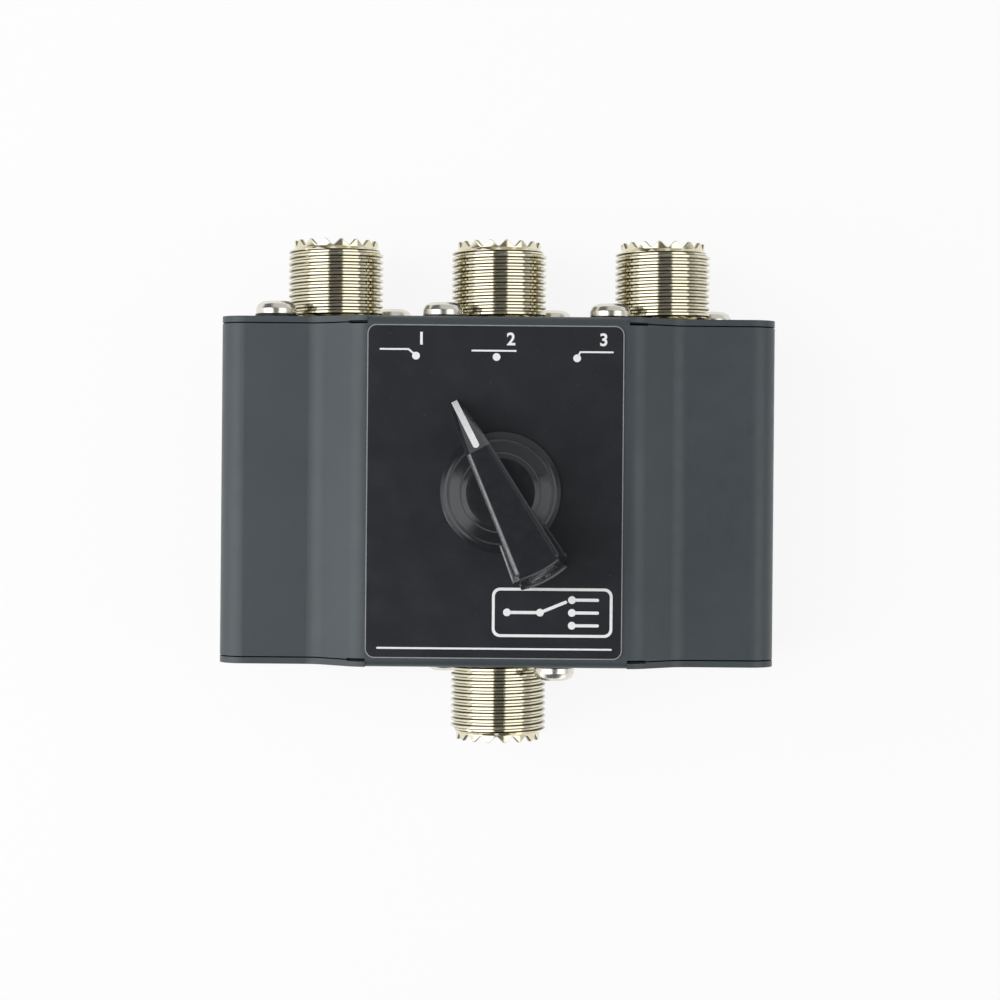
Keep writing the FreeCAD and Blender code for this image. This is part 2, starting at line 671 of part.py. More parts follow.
def rear_cover():
    body = new_body("RearCover")
    plate = new_sketch(body)
    outline(plate, box_outline("-half_width", "-half_length", "half_width", "half_length"))
    pad(body, plate, "rear_plate")
    rounded(body, "plate_corner_radius", lambda middle, way: abs(way.z) > 0.999)
    holes = new_sketch(body)
    for x, y in cover_screw_places():
        circle(holes, x, y, "screw_radius + screw_hole_gap")
    pocket(body, holes, "rear_plate", reverse=True)
    sinks = []
    for x, y in cover_screw_places():
        sink = doc.addObject("Part::Cone", "Cone")
        bind(
            sink,
            Radius1="flat_head_diameter / 2 + fit_gap",
            Radius2="screw_radius + screw_hole_gap",
            Height="flat_head_height",
        )
        sinks.append(place(sink, x, y))
    node(cut(body, fused(sinks)), "rear_cover")


def cover_fasteners():
    screws, nuts = [], []
    for x, y in cover_screw_places():
        body = new_body("CoverScrew")
        turned(
            body,
            [
                ("0", "0"),
                ("flat_head_diameter / 2", "0"),
                ("screw_radius", "flat_head_height"),
                ("screw_radius", "cover_screw_length"),
                ("0", "cover_screw_length"),
            ],
        )
        cross_cut(body, "0", reverse=True)
        screws.append(place(body, x, y))
        nut = new_body("ClinchNut")
        stem = "clinch_nut_diameter / 2 - sheet_metal / 2 - fit_gap"
        turned(
            nut,
            [
                ("screw_radius + fit_gap", "fit_gap"),
                (stem, "fit_gap"),
                (stem, "sheet_metal"),
                ("clinch_nut_diameter / 2", "sheet_metal"),
                ("clinch_nut_diameter / 2", "sheet_metal + clinch_nut_height"),
                ("screw_radius + fit_gap", "sheet_metal + clinch_nut_height"),
            ],
        )
        nuts.append(place(nut, x, y, "rear_plate"))
    group(screws, "rear_cover_screws")
    group(nuts, "clinch_nuts")


def cross_cut(body, level, reverse):
    """The cross-shaped recess in a screw head."""
    arm, half = "cross_span / 2", "cross_width / 2"
    cross = new_sketch(body, "XY_Plane", level)
    outline(
        cross,
        [
            (f"-({half})", f"-({arm})"), (half, f"-({arm})"), (half, f"-({half})"),
            (arm, f"-({half})"), (arm, half), (half, half),
            (half, arm), (f"-({half})", arm), (f"-({half})", half),
            (f"-({arm})", half), (f"-({arm})", f"-({half})"), (f"-({half})", f"-({half})"),
        ],
    )
    pocket(body, cross, "cross_recess", reverse=reverse)


def front_label():
    body = new_body("FrontLabel")
    sheet_outline = new_sketch(body)
    outline(
        sheet_outline,
        box_outline(
            "label_x - label_width / 2",
            "-label_length / 2",
            "label_x + label_width / 2",
            "label_length / 2",
        ),
    )
    pad(body, sheet_outline, "label_thickness")
    rounded(body, "label_corner_radius", lambda middle, way: abs(way.z) > 0.999)
    hole = new_sketch(body)
    circle(hole, "shaft_x", "0", "bushing_diameter / 2 + panel_hole_gap")
    pocket(body, hole, "label_thickness", reverse=True)
    node(place(body, z="front_height"), "front_label")


# ---------------------------------------------------------------- the jacks
# A jack is drawn with its axis up and the wall's outer face at zero, then laid over.

LAID_UP = FreeCAD.Rotation(FreeCAD.Vector(1, 0, 0), -90)  # its tip points along +Y
LAID_DOWN = FreeCAD.Rotation(FreeCAD.Vector(0, 0, 1), 180) * LAID_UP  # along -Y


def lay(obj, x, side, z="jack_height"):
    """Stands a piece that was drawn on the wall's outer face on the upper or lower wall."""
    return place(obj, x, f"{side} * half_length", z, LAID_UP if side > 0 else LAID_DOWN)


def thread_corners():
    """The barrel's outer outline: neck, ridges of the thread, a low last ridge and the rim."""
    turns = int((value("jack_reach") - value("rim_length") - value("neck_length")) / value("thread_pitch"))
    corners = [("rim_outer", "flange_back"), ("rim_outer", "neck_length")]
    for turn in range(turns):
        for radius, part_of_pitch in (
            ("root_radius", 0.06),
            ("major_radius", 0.21),
            ("major_radius", 0.79),
            ("root_radius", 0.94),
        ):
            corners.append((radius, f"neck_length + {turn + part_of_pitch} * thread_pitch"))
    end = f"neck_length + {turns} * thread_pitch"
    corners += [
        ("root_radius", end),
        ("(root_radius + major_radius) / 2", f"{end} + thread_pitch / 3"),
        ("rim_outer", f"{end} + thread_pitch * 2 / 3"),
        ("rim_outer", "jack_reach"),
    ]
    return corners


def jack_shell(name, x, side):
    body = new_body("JackShell")
    flange = new_sketch(body, "XY_Plane", "flange_back")
    half = "jack_flange / 2"
    outline(flange, box_outline(f"-({half})", f"-({half})", half, half))
    for hole_x in (-1, 1):
        for hole_y in (-1, 1):
            circle(flange, f"{hole_x} * hole_pitch", f"{hole_y} * hole_pitch", "flange_hole / 2")
    pad(body, flange, "flange_thickness")
    turned(
        body,
        thread_corners() + [("rim_outer - 0.4 * fit_gap", "jack_reach"), ("socket_radius", "jack_reach"),
                            ("socket_radius", "flange_back")],
    )
    bore = new_sketch(body, "XY_Plane", "flange_back - fit_gap")
    circle(bore, "0", "0", "socket_radius")
    pocket(body, bore, "flange_thickness + 2 * fit_gap", reverse=True)
    notch = new_sketch(body, "YZ_Plane")
    outline(
        notch,
        [
            ("-notch_floor / 2", "jack_reach - tooth_depth"),
            ("notch_floor / 2", "jack_reach - tooth_depth"),
            ("notch_mouth / 2", "jack_reach + fit_gap"),
            ("-notch_mouth / 2", "jack_reach + fit_gap"),
        ],
    )
    tooth_gap = pocket(body, notch, "thread_diameter", reverse=True)
    around(body, tooth_gap, "tooth_count")
    node(lay(body, x, side), f"jack_{name}_shell")


def jack_insulator(name, x, side):
    body = new_body("JackInsulator")
    inner, outer = "contact_diameter / 2 + fit_gap", "socket_radius - fit_gap"
    turned(
        body,
        [
            (inner, "insulator_back"),
            ("insulator_boss / 2", "insulator_back"),
            ("insulator_boss / 2", "flange_back"),
            (outer, "flange_back"),
            (outer, "insulator_face"),
            (inner, "insulator_face"),
        ],
    )
    node(lay(body, x, side), f"jack_{name}_insulator")


def jack_contact(name, x, side):
    body = new_body("JackContact")
    turned(
        body,
        [
            ("contact_bore / 2", "insulator_face"),
            ("contact_diameter / 2", "insulator_face"),
            ("contact_diameter / 2", "insulator_back"),
            ("cup_diameter / 2", "insulator_back"),
            ("cup_diameter / 2", "-cup_reach"),
            ("cup_bore / 2", "-cup_reach"),
            ("cup_bore / 2", "cup_depth - cup_reach"),
            ("0", "cup_depth - cup_reach"),
            ("0", "insulator_face - contact_depth"),
            ("contact_bore / 2", "insulator_face - contact_depth"),
        ],
    )
    slot = new_sketch(body, "XY_Plane", "insulator_face - contact_slot_depth")
    half, reach = "contact_slot / 2", "contact_diameter"
    outline(slot, box_outline(f"-({half})", f"-({reach})", half, reach))
    first = pocket(body, slot, "contact_slot_depth", reverse=True)
    around(body, first, "4")
    node(lay(body, x, side), f"jack_{name}_contact")


def jack_fasteners():
    screws, washers, nuts = [], [], []
    for x, z, side in screw_places():
        body = new_body("JackScrew")
        under = "washer_thickness"
        turned(
            body,
            [
                ("0", f"{under} - screw_length"),
                ("screw_radius", f"{under} - screw_length"),
                ("screw_radius", under),
                ("pan_head_diameter / 2", under),
                ("pan_head_diameter / 2", f"{under} + pan_head_height * 0.35"),
                ("pan_head_diameter * 0.44", f"{under} + pan_head_height * 0.68"),
                ("pan_head_diameter * 0.33", f"{under} + pan_head_height * 0.9"),
                ("pan_head_diameter * 0.18", f"{under} + pan_head_height"),
                ("0", f"{under} + pan_head_height"),
            ],
        )
        cross_cut(body, f"{under} + pan_head_height", reverse=False)
        screws.append(lay(body, x, side, z))
        washer = ring("washer_diameter / 2", "screw_radius + fit_gap", "washer_thickness")
        washers.append(lay(washer, x, side, z))
        nut = cut(
            hexagon("nut_flats", "nut_height", z="flange_back - nut_height"),
            cylinder("screw_radius + fit_gap", "nut_height", z="flange_back - nut_height"),
        )
        nuts.append(lay(nut, x, side, z))
    group(screws, "jack_screws")
    group(washers, "jack_screw_washers")
    group(nuts, "jack_screw_nuts")


# ---------------------------------------------------------------- the rotary switch


def switch_plate():
    body = new_body("SwitchPlate")
    plate = new_sketch(body)
    half_x, half_y = "switch_plate_length / 2", "switch_plate_width / 2"
    outline(plate, box_outline(f"-({half_x})", f"-({half_y})", half_x, half_y))
    circle(plate, "0", "0", "bushing_diameter / 2 + fit_gap")
    for side in (-1, 1):
        circle(plate, f"{side} * tie_span / 2", "0", "tie_diameter / 2 + fit_gap")
    pad(body, plate, "switch_plate_thickness")
    rounded(
        body,
        "spacer_diameter / 2",
        lambda middle, way: abs(way.z) > 0.999 and near(abs(middle.x), half_x),
    )
    for side in (-1, 1):
        tab = new_sketch(body)
        near_x, far_x = f"{side} * (tab_x - tab_thickness / 2)", f"{side} * (tab_x + tab_thickness / 2)"
        outline(
            tab,
            box_outline(near_x, "leaf_inside - tab_thickness", far_x, "leaf_inside + 2 * tab_thickness"),
        )
        pad(body, tab, "tab_depth", reverse=True)
    slot = new_sketch(body, "YZ_Plane")
    outline(
        slot,
        box_outline(
            "leaf_inside - fit_gap",
            "spring_under - fit_gap - plate_under",
            "leaf_inside + spring_thickness + fit_gap",
            "spring_under + spring_height + fit_gap - plate_under",
        ),
    )
    pocket(body, slot, "2 * (tab_x + tab_thickness)", both_ways=True)
    node(place(body, "shaft_x", z="plate_under"), "switch_plate")


def switch_bushing():
    body = new_body("SwitchBushing")
    turned(
        body,
        [
            ("shaft_radius + shaft_gap", "bushing_under"),
            ("bushing_flange / 2", "bushing_under"),
            ("bushing_flange / 2", "plate_under"),
            ("bushing_diameter / 2", "plate_under"),
            ("bushing_diameter / 2", "bushing_top - sheet_metal / 2"),
            ("bushing_diameter / 2 - sheet_metal / 2", "bushing_top"),
            ("shaft_radius + shaft_gap", "bushing_top"),
        ],
    )
    node(place(body, "shaft_x"), "switch_bushing")


def bushing_fasteners():
    washer = ring("lock_washer_diameter / 2", "bushing_diameter / 2 + fit_gap", "lock_washer_thickness")
    node(place(washer, "shaft_x", z="label_top"), "bushing_washer")
    nut = cut(
        hexagon("bushing_nut_flats", "bushing_nut_height"),
        cylinder("bushing_diameter / 2 + fit_gap", "bushing_nut_height"),
    )
    node(place(nut, "shaft_x", z="label_top + lock_washer_thickness"), "bushing_nut")


def tie_bolts_and_spacers():
    bolts, spacers = [], []
    for side in (-1, 1):
        x = f"shaft_x + {side} * tie_span / 2"
        body = new_body("TieBolt")
        turned(
            body,
            [
                ("0", "-tie_head_height"),
                ("tie_head_diameter / 2", "-tie_head_height"),
                ("tie_head_diameter / 2", "0"),
                ("tie_diameter / 2", "0"),
                ("tie_diameter / 2", "plate_top - fit_gap - wafer_under"),
                ("0", "plate_top - fit_gap - wafer_under"),
            ],
        )
        bolts.append(place(body, x, z="wafer_under"))
        tube = ring("spacer_diameter / 2", "tie_diameter / 2 + fit_gap", "plate_under - wafer_top")
        spacers.append(place(tube, x, z="wafer_top"))
    group(bolts, "tie_bolts")
    group(spacers, "spacer_tubes")


def detent_spring():
    body = new_body("DetentSpring")
    leaf = new_sketch(body)
    far, root, tip = "spring_half_length", "nose_half_width", "nose_half_width / 4"
    low, high = "leaf_inside", "leaf_inside + spring_thickness"
    floor, back = "nose_notch_floor", "nose_notch_floor + spring_thickness"
    outline(
        leaf,
        [
            (f"-{far}", low), (f"-({root})", low), (f"-({tip})", floor), (tip, floor),
            (root, low), (far, low), (far, high), (f"{root} - {tip} / 2", high),
            (f"({tip}) / 2", back), (f"-({tip}) / 2", back), (f"-({root} - {tip} / 2)", high),
            (f"-{far}", high),
        ],
    )
    pad(body, leaf, "spring_height")
    node(place(body, "shaft_x", z="spring_under"), "detent_spring")


def stop_pins():
    turn = "detent_step + lug_half_angle + stop_gap + asin(stop_pin_radius / stop_pin_circle) / 1deg"
    pins = []
    for side in (-1, 1):
        pins.append(
            cylinder(
                "stop_pin_radius",
                "plate_under - wheel_under",
                f"shaft_x + {side} * stop_pin_circle * sin({turn})",
                f"-stop_pin_circle * cos({turn})",
                "wheel_under",
            )
        )
    group(pins, "stop_pins")


def on_rotor(obj, label, x="shaft_x", y="0", z="0", angle="detent_step"):
    """A turning piece, drawn with its pointer along +Y, turned to the first position."""
    place(obj, x, y, z, FreeCAD.Rotation(FreeCAD.Vector(0, 0, 1), value(angle)))
    bind(obj, Placement__Rotation__Angle=f"({angle}) * 1deg")
    return node(obj, label)


def switch_shaft():
    body = new_body("SwitchShaft")
    groove, radius = "shaft_radius - clip_groove", "shaft_radius"
    clip_top = "clip_under + clip_thickness + fit_gap"
    turned(
        body,
        [
            ("0", "shaft_under"),
            (radius, "shaft_under"),
            (radius, "clip_under - fit_gap"),
            (groove, "clip_under - fit_gap"),
            (groove, clip_top),
            (radius, clip_top),
            (radius, "insert_top - flat_depth / 2"),
            ("shaft_radius - flat_depth / 2", "insert_top"),
            ("0", "insert_top"),
        ],
    )
    flat = new_sketch(body, "YZ_Plane")
    outline(
        flat,
        box_outline("-2 * shaft_radius", "insert_foot", "flat_depth - shaft_radius", "insert_top + 1"),
    )
    pocket(body, flat, "4 * shaft_radius", both_ways=True)
    on_rotor(body, "switch_shaft", angle="knob_angle")


def shaft_clip():
    whole = ring("clip_diameter / 2", "shaft_radius - clip_groove + fit_gap", "clip_thickness")
    mouth = block(
        "shaft_diameter - 2 * clip_groove",
        "clip_diameter",
        "clip_thickness",
        x="clip_groove - shaft_radius",
    )
    on_rotor(cut(whole, mouth), "shaft_clip", z="clip_under")


def detent_wheel():
    body = new_body("DetentWheel")
    disc = new_sketch(body)
    circle(disc, "0", "0", "wheel_radius")
    circle(disc, "0", "0", "shaft_radius + fit_gap")
    pad(body, disc, "wheel_thickness")
    notch = new_sketch(body)
    circle(notch, "0", "notch_centre", "notch_radius")
    around(body, pocket(body, notch, "wheel_thickness", reverse=True), "360 / detent_step")
    lug = new_sketch(body)
    inner, outer = "wheel_radius - notch_radius * 1.5", "lug_radius"
    across, along = "sin(lug_half_angle)", "cos(lug_half_angle)"
    outline(
        lug,
        [
            (f"-({inner}) * {across}", f"-({inner}) * {along}"),
            (f"-({outer}) * {across}", f"-({outer}) * {along}"),
            (f"({outer}) * {across}", f"-({outer}) * {along}"),
            (f"({inner}) * {across}", f"-({inner}) * {along}"),
        ],
    )
    pad(body, lug, "wheel_thickness")
    on_rotor(body, "detent_wheel", z="wheel_under")


def switch_wafer():
    ears = block("tie_span", "wafer_ear_width", "wafer_thickness", "-tie_span / 2", "-wafer_ear_width / 2")
    ends = []
    for side in (-1, 1):
        ends.append(cylinder("wafer_ear_width / 2", "wafer_thickness", f"{side} * tie_span / 2"))
    holes = [cylinder("rotor_radius + wafer_hole_gap", "wafer_thickness")]
    for side in (-1, 1):
        holes.append(cylinder("tie_diameter / 2 + fit_gap", "wafer_thickness", f"{side} * tie_span / 2"))
    for x, y in terminal_points("rivet_circle"):
        holes.append(cylinder("rivet_radius + fit_gap", "wafer_thickness", x, y))
    disc = cylinder("wafer_radius", "wafer_thickness")
    wafer = cut(fused([disc, ears] + ends), fused(holes))
    node(place(wafer, "shaft_x", z="wafer_under"), "switch_wafer")


TERMINALS = (
    # name, its turn from +Y in steps of the detent, the size that says where its tip is
    ("terminal_1", "detent_step", "terminal_tip"),
    ("terminal_2", "0", "terminal_tip"),
    ("terminal_3", "-detent_step", "terminal_tip"),
    ("common_terminal", "180", "common_tip"),
)


def terminal_points(circle_radius):
    for _, turn, _ in TERMINALS:
        yield f"-{circle_radius} * sin({turn})", f"{circle_radius} * cos({turn})"


def switch_terminals():
    for label, turn, tip in TERMINALS:
        body = new_body("Terminal")
        side = new_sketch(body, "YZ_Plane")
        thick = "terminal_thickness"
        outline(
            side,
            [
                (tip, "step_rise"), (f"terminal_step - {thick}", "step_rise"),
                (f"terminal_step - {thick}", "0"), ("terminal_reach", "0"),
                ("terminal_reach", thick), ("terminal_step", thick),
                ("terminal_step", f"step_rise + {thick}"), (tip, f"step_rise + {thick}"),
            ],
        )
        pad(body, side, "terminal_width", both_ways=True)
        hole = new_sketch(body)
        circle(hole, "0", "rivet_circle", "rivet_radius + fit_gap")
        pocket(body, hole, thick, reverse=True)
        place(body, "shaft_x", z="wafer_top", turn=FreeCAD.Rotation(FreeCAD.Vector(0, 0, 1), value(turn)))
        bind(body, Placement__Rotation__Angle=f"({turn}) * 1deg")
        node(body, label)


def terminal_rivets():
    rivets = []
    for x, y in terminal_points("rivet_circle"):
        body = new_body("Rivet")
        bottom = "-wafer_thickness - rivet_head_height"
        top = "terminal_thickness + rivet_head_height"
        turned(
            body,
            [
                ("0", bottom), ("rivet_head_radius", bottom), ("rivet_head_radius", "-wafer_thickness"),
                ("rivet_radius", "-wafer_thickness"), ("rivet_radius", "terminal_thickness"),
                ("rivet_head_radius", "terminal_thickness"), ("rivet_head_radius", top), ("0", top),
            ],
        )
        rivets.append(place(body, f"shaft_x + {x}", y, "wafer_top"))
    group(rivets, "terminal_rivets")


def wafer_rotor():
    body = new_body("WaferRotor")
    disc = new_sketch(body)
    circle(disc, "0", "0", "rotor_radius")
    circle(disc, "0", "0", "shaft_radius + fit_gap")
    pad(body, disc, "wafer_thickness + blade_lift")
    on_rotor(body, "wafer_rotor", z="wafer_under")


def contact_blade():
    body = new_body("ContactBlade")
    disc = new_sketch(body)
    circle(disc, "0", "0", "rotor_radius")
    circle(disc, "0", "0", "blade_inner_radius")
    pad(body, disc, "blade_thickness")
    finger = new_sketch(body)
    half = "blade_finger_width / 2"
    outline(
        finger,
        box_outline(f"-({half})", "(blade_inner_radius + rotor_radius) / 2", half, "blade_finger_radius"),
    )
    pad(body, finger, "blade_thickness")
    on_rotor(body, "contact_blade", z="wafer_top + blade_lift")


# ---------------------------------------------------------------- the wires


def wire_path(points, bend):
    """Straight runs through the points, joined by tangent arcs; returns the path's edges."""
    edges, start = [], points[0]
    for before, corner, after in zip(points, points[1:], points[2:]):
        back, ahead = (before - corner).normalize(), (after - corner).normalize()
        turn = math.pi - back.getAngle(ahead)
        tangent = bend * math.tan(turn / 2)
        first, last = corner + back * tangent, corner + ahead * tangent
        to_centre = (back + ahead).normalize() * (bend / math.cos(turn / 2))
        middle = corner + to_centre * (1 - bend / to_centre.Length)
        edges.append(Part.LineSegment(start, first).toShape())
        edges.append(Part.Arc(first, middle, last).toShape())
        start = last
    edges.append(Part.LineSegment(start, points[-1]).toShape())
    return edges


def jack_wire(name, x, side, ends):
    """A round wire from a jack's solder cup to its contact on the wafer."""
    height, radius = value("jack_height"), value("wire_radius")
    cup_end = side * (value("half_length") - value("cup_reach") + value("cup_depth") - value("wire_lift"))
    points = [FreeCAD.Vector(value(x), cup_end, height)]
    points += [FreeCAD.Vector(end_x, end_y, height) for end_x, end_y in ends]
    wire = Part.Wire(wire_path(points, value("wire_bend")))
    profile = Part.Wire(Part.Circle(points[0], points[1] - points[0], radius).toShape())
    solid = wire.makePipeShell([profile], True, False)
    expected = math.pi * radius ** 2 * wire.Length
    if abs(solid.Volume / expected - 1) > 0.002:
        raise RuntimeError(f"wire_{name}: {solid.Volume:.2f} mm3, but its run should hold {expected:.2f}")
    print(f"wire_{name}: {wire.Length:.1f} mm long, bends of radius {value('wire_bend'):.1f} mm")
    feature = doc.addObject("Part::Feature", "Wire")
    feature.Shape = solid
    node(feature, f"wire_{name}")


def jack_wires():
    """The middle wires run straight; the outer two turn in to the ends of their contacts."""
    shaft, past = value("shaft_x"), value("wire_radius")
    middle = (value("wire_end") + value("terminal_reach")) / 2 + past / 2
    turn = math.radians(value("detent_step"))
    for name, x, side in JACKS:
        if name in ("1", "3"):
            across = -1 if name == "1" else 1
            tab_x = shaft + across * middle * math.sin(turn)
            tab_y = middle * math.cos(turn)
            corner = (value(x), tab_y - past * 4)
            ends = [corner, (tab_x - across * past, tab_y)]
        else:
            ends = [(value(x), side * value("wire_end"))]
        jack_wire(name, x, side, ends)


# ---------------------------------------------------------------- the knob
# Drawn with the pointer along +Y and the foot at zero.


def facet_z(y):
    """Height of the sloping nose above the knob's foot, at a distance y from the axis."""
    return f"(knob_height - ({y} - facet_start) * facet_fall)"


def grip_outline(tail, width, corner, corner_width, nose):
    """The wedge seen from above, from its end with the cut corners round to the nose."""
    return [
        (f"-({width} / 2 - {corner_width})", f"-{tail}"),
        (f"{width} / 2 - {corner_width}", f"-{tail}"),
        (f"{width} / 2", f"-({tail} - {corner})"),
        (f"{nose} / 2", "nose_reach"),
        (f"-{nose} / 2", "nose_reach"),
        (f"-{width} / 2", f"-({tail} - {corner})"),
    ]


def line_quad(gap):
    """The white line's groove in the middle plane, following the nose's slope."""
    sink = f"(line_depth + {gap}) * sqrt(1 + facet_fall ^ 2)"
    inner, outer = f"line_start - {gap}", f"line_end + {gap}"
    return [
        (inner, f"{facet_z(f'({inner})')} - {sink}"),
        (outer, f"{facet_z(f'({outer})')} - {sink}"),
        (outer, f"{facet_z(f'({outer})')}"),
        (inner, f"{facet_z(f'({inner})')}"),
    ]


def knob():
    body = new_body("Knob")
    turned(
        body,
        [
            ("0", "0"),
            ("skirt_radius", "0"),
            ("skirt_radius", "skirt_foot"),
            ("skirt_radius - skirt_round", "skirt_foot + skirt_round"),
            ("ledge_radius", "ledge_height"),
            ("ledge_radius", "ridge_height - skirt_round"),
            ("ledge_radius - skirt_round", "ridge_height"),
            ("collar_radius", "ridge_height + ridge_rise"),
            ("collar_radius", "shoulder_height - shoulder_drop"),
            ("shoulder_radius", "shoulder_height"),
            ("0", "shoulder_height"),
        ],
    )
    low = new_sketch(body, "XY_Plane", "grip_foot")
    outline(low, grip_outline("tail_reach", "tail_width", "foot_corner", "foot_corner_width", "nose_width"))
    high = new_sketch(body, "XY_Plane", "knob_height")
    outline(high, grip_outline("top_tail", "top_width", "top_corner", "top_corner_width", "top_nose_width"))
    grip = body.newObject("PartDesign::AdditiveLoft", "Grip")
    grip.Profile = low
    grip.Sections = [high]
    grip.Ruled = True
    doc.recompute()
    nose = new_sketch(body, "YZ_Plane")
    outline(
        nose,
        [
            ("facet_start", "knob_height"),
            ("nose_reach + nut_gap", facet_z("(nose_reach + nut_gap)")),
            ("nose_reach + nut_gap", "knob_height + facet_start"),
            ("facet_start", "knob_height + facet_start"),
        ],
    )
    pocket(body, nose, "2 * tail_width", both_ways=True)
    rounded(
        body,
        "grip_edge",
        lambda middle, way: near(middle.z, "knob_height") and not near(middle.y, "facet_start"),
    )
    groove = new_sketch(body, "YZ_Plane")
    outline(groove, line_quad("fit_gap"))
    pocket(body, groove, "line_width + 2 * fit_gap", both_ways=True)
    rise = "insert_foot - knob_foot"
    grooved(
        body,
        [
            ("0", "0"),
            ("nut_room", "0"),
            ("nut_room", "nut_room_top"),
            ("clip_room", "nut_room_top"),
            ("clip_room", rise),
            ("insert_radius + fit_gap", rise),
            ("insert_radius + fit_gap", f"{rise} + insert_height + fit_gap"),
            ("0", f"{rise} + insert_height + fit_gap"),
        ],
    )
    hole = new_sketch(body, "XZ_Plane")
    circle(hole, "0", f"{rise} + set_screw_height", "set_screw_radius + set_screw_hole_gap")
    pocket(body, hole, "tail_reach", reverse=True)
    on_rotor(body, "knob", z="knob_foot", angle="knob_angle")


def knob_pointer_line():
    body = new_body("PointerLine")
    side = new_sketch(body, "YZ_Plane")
    outline(side, line_quad("0"))
    pad(body, side, "line_width", both_ways=True)
    on_rotor(body, "knob_pointer_line", z="knob_foot", angle="knob_angle")


def knob_insert():
    body = new_body("KnobInsert")
    tube = new_sketch(body)
    circle(tube, "0", "0", "insert_radius")
    circle(tube, "0", "0", "shaft_radius + shaft_gap")
    pad(body, tube, "insert_height")
    hole = new_sketch(body, "XZ_Plane")
    circle(hole, "0", "set_screw_height", "set_screw_radius + fit_gap")
    pocket(body, hole, "2 * insert_radius", reverse=True)
    on_rotor(body, "knob_insert", z="insert_foot", angle="knob_angle")


def knob_set_screw():
    start = "shaft_radius - flat_depth + fit_gap"
    laid = FreeCAD.Rotation(FreeCAD.Vector(1, 0, 0), 90)  # its own axis points along -Y
    screw = cylinder("set_screw_radius", "set_screw_length", y=f"-({start})", z="set_screw_height", turn=laid)
    socket = hexagon(
        "hex_socket",
        "hex_socket_depth",
        y=f"-({start} + set_screw_length - hex_socket_depth)",
        z="set_screw_height",
        turn=laid,
    )
    on_rotor(cut(screw, socket), "knob_set_screw", z="insert_foot", angle="knob_angle")


# ---------------------------------------------------------------- build, check and write

front_case()
rear_cover()
cover_fasteners()
front_label()
for name, jack_x, side in JACKS:
    jack_shell(name, jack_x, side)
    jack_insulator(name, jack_x, side)
    jack_contact(name, jack_x, side)
jack_fasteners()
switch_plate()
switch_bushing()
bushing_fasteners()
tie_bolts_and_spacers()
detent_spring()
stop_pins()
switch_shaft()
shaft_clip()
detent_wheel()
switch_wafer()
switch_terminals()
terminal_rivets()
wafer_rotor()
contact_blade()
jack_wires()
knob()
knob_pointer_line()
knob_insert()
knob_set_screw()
doc.recompute()

for obj in doc.Objects:
    if "Invalid" in obj.State or "Error" in obj.State:
        raise RuntimeError(f"{obj.Label} did not build: {obj.State}")
for label, obj in NODES.items():
    if obj.Shape.isNull() or not obj.Shape.isValid() or not obj.Shape.Solids:
        raise RuntimeError(f"{label} has no valid solid")

os.makedirs("parts", exist_ok=True)
for label, obj in NODES.items():
    obj.Shape.exportStep(os.path.join("parts", f"{label}.step"))
print(f"{len(NODES)} nodes, {sum(len(obj.Shape.Solids) for obj in NODES.values())} solids")
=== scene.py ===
"""A three-way coaxial antenna switch seen from above: finishes, threads, print and studio."""

import json
import math

import bmesh
import bpy
from mathutils import Matrix, Vector


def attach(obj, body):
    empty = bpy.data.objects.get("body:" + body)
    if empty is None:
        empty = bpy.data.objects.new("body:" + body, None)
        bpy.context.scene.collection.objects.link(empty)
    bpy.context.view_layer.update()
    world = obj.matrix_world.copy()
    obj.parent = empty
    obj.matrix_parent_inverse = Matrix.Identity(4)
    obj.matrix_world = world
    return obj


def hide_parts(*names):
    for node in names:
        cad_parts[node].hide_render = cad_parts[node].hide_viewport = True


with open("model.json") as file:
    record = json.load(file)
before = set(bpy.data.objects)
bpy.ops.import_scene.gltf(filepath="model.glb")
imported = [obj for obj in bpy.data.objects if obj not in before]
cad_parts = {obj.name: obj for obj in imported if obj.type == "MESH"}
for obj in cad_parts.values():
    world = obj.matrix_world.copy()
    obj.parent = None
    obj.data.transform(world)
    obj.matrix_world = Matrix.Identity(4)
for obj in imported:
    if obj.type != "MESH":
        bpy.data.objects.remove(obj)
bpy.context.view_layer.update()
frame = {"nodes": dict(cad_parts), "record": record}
MM = 0.001

# ---------------------------------------------------------------- sizes shared with the CAD, in mm

HALF_LENGTH = 28.2
LABEL_TOP = 34.85
JACK_HEIGHT = 15.9
# Each jack's name, its place along X and the end wall that it stands on.
JACKS = (("1", -27.4, 1), ("2", 0.0, 1), ("3", 27.4, 1), ("input", 0.4, -1))
HOLE_REACH = 18.25 / 2
SHAFT_X = 0.5
KNOB_FOOT = LABEL_TOP + 0.45
KNOB_ANGLE = math.radians(27.5)

LAID_UP = Matrix.Rotation(math.radians(-90), 4, "X")
LAID_DOWN = Matrix.Rotation(math.pi, 4, "Z") @ LAID_UP
KNOB_PLACE = Matrix.Translation((SHAFT_X, 0, KNOB_FOOT)) @ Matrix.Rotation(KNOB_ANGLE, 4, "Z")


def wall_matrix(x, side, height=JACK_HEIGHT):
    """From a piece drawn with its axis up to its place on the upper or lower end wall."""
    turn = LAID_UP if side > 0 else LAID_DOWN
    return Matrix.Translation((x, side * HALF_LENGTH, height)) @ turn


# ---------------------------------------------------------------- objects and meshes


def linked(name, content):
    """A new object in the scene."""
    obj = bpy.data.objects.new(name, content)
    bpy.context.scene.collection.objects.link(obj)
    return obj


def new_object(name, mesh, place=Matrix.Identity(4)):
    """Puts a mesh drawn in millimetres in the scene, with its place in its vertices."""
    mesh.transform(Matrix.Scale(MM, 4) @ place)
    return linked(name, mesh)


def smooth_below(mesh, sharp):
    """Smooth faces, with sharp edges above an angle in degrees."""
    mesh.shade_smooth()
    mesh.set_sharp_from_angle(angle=math.radians(sharp))


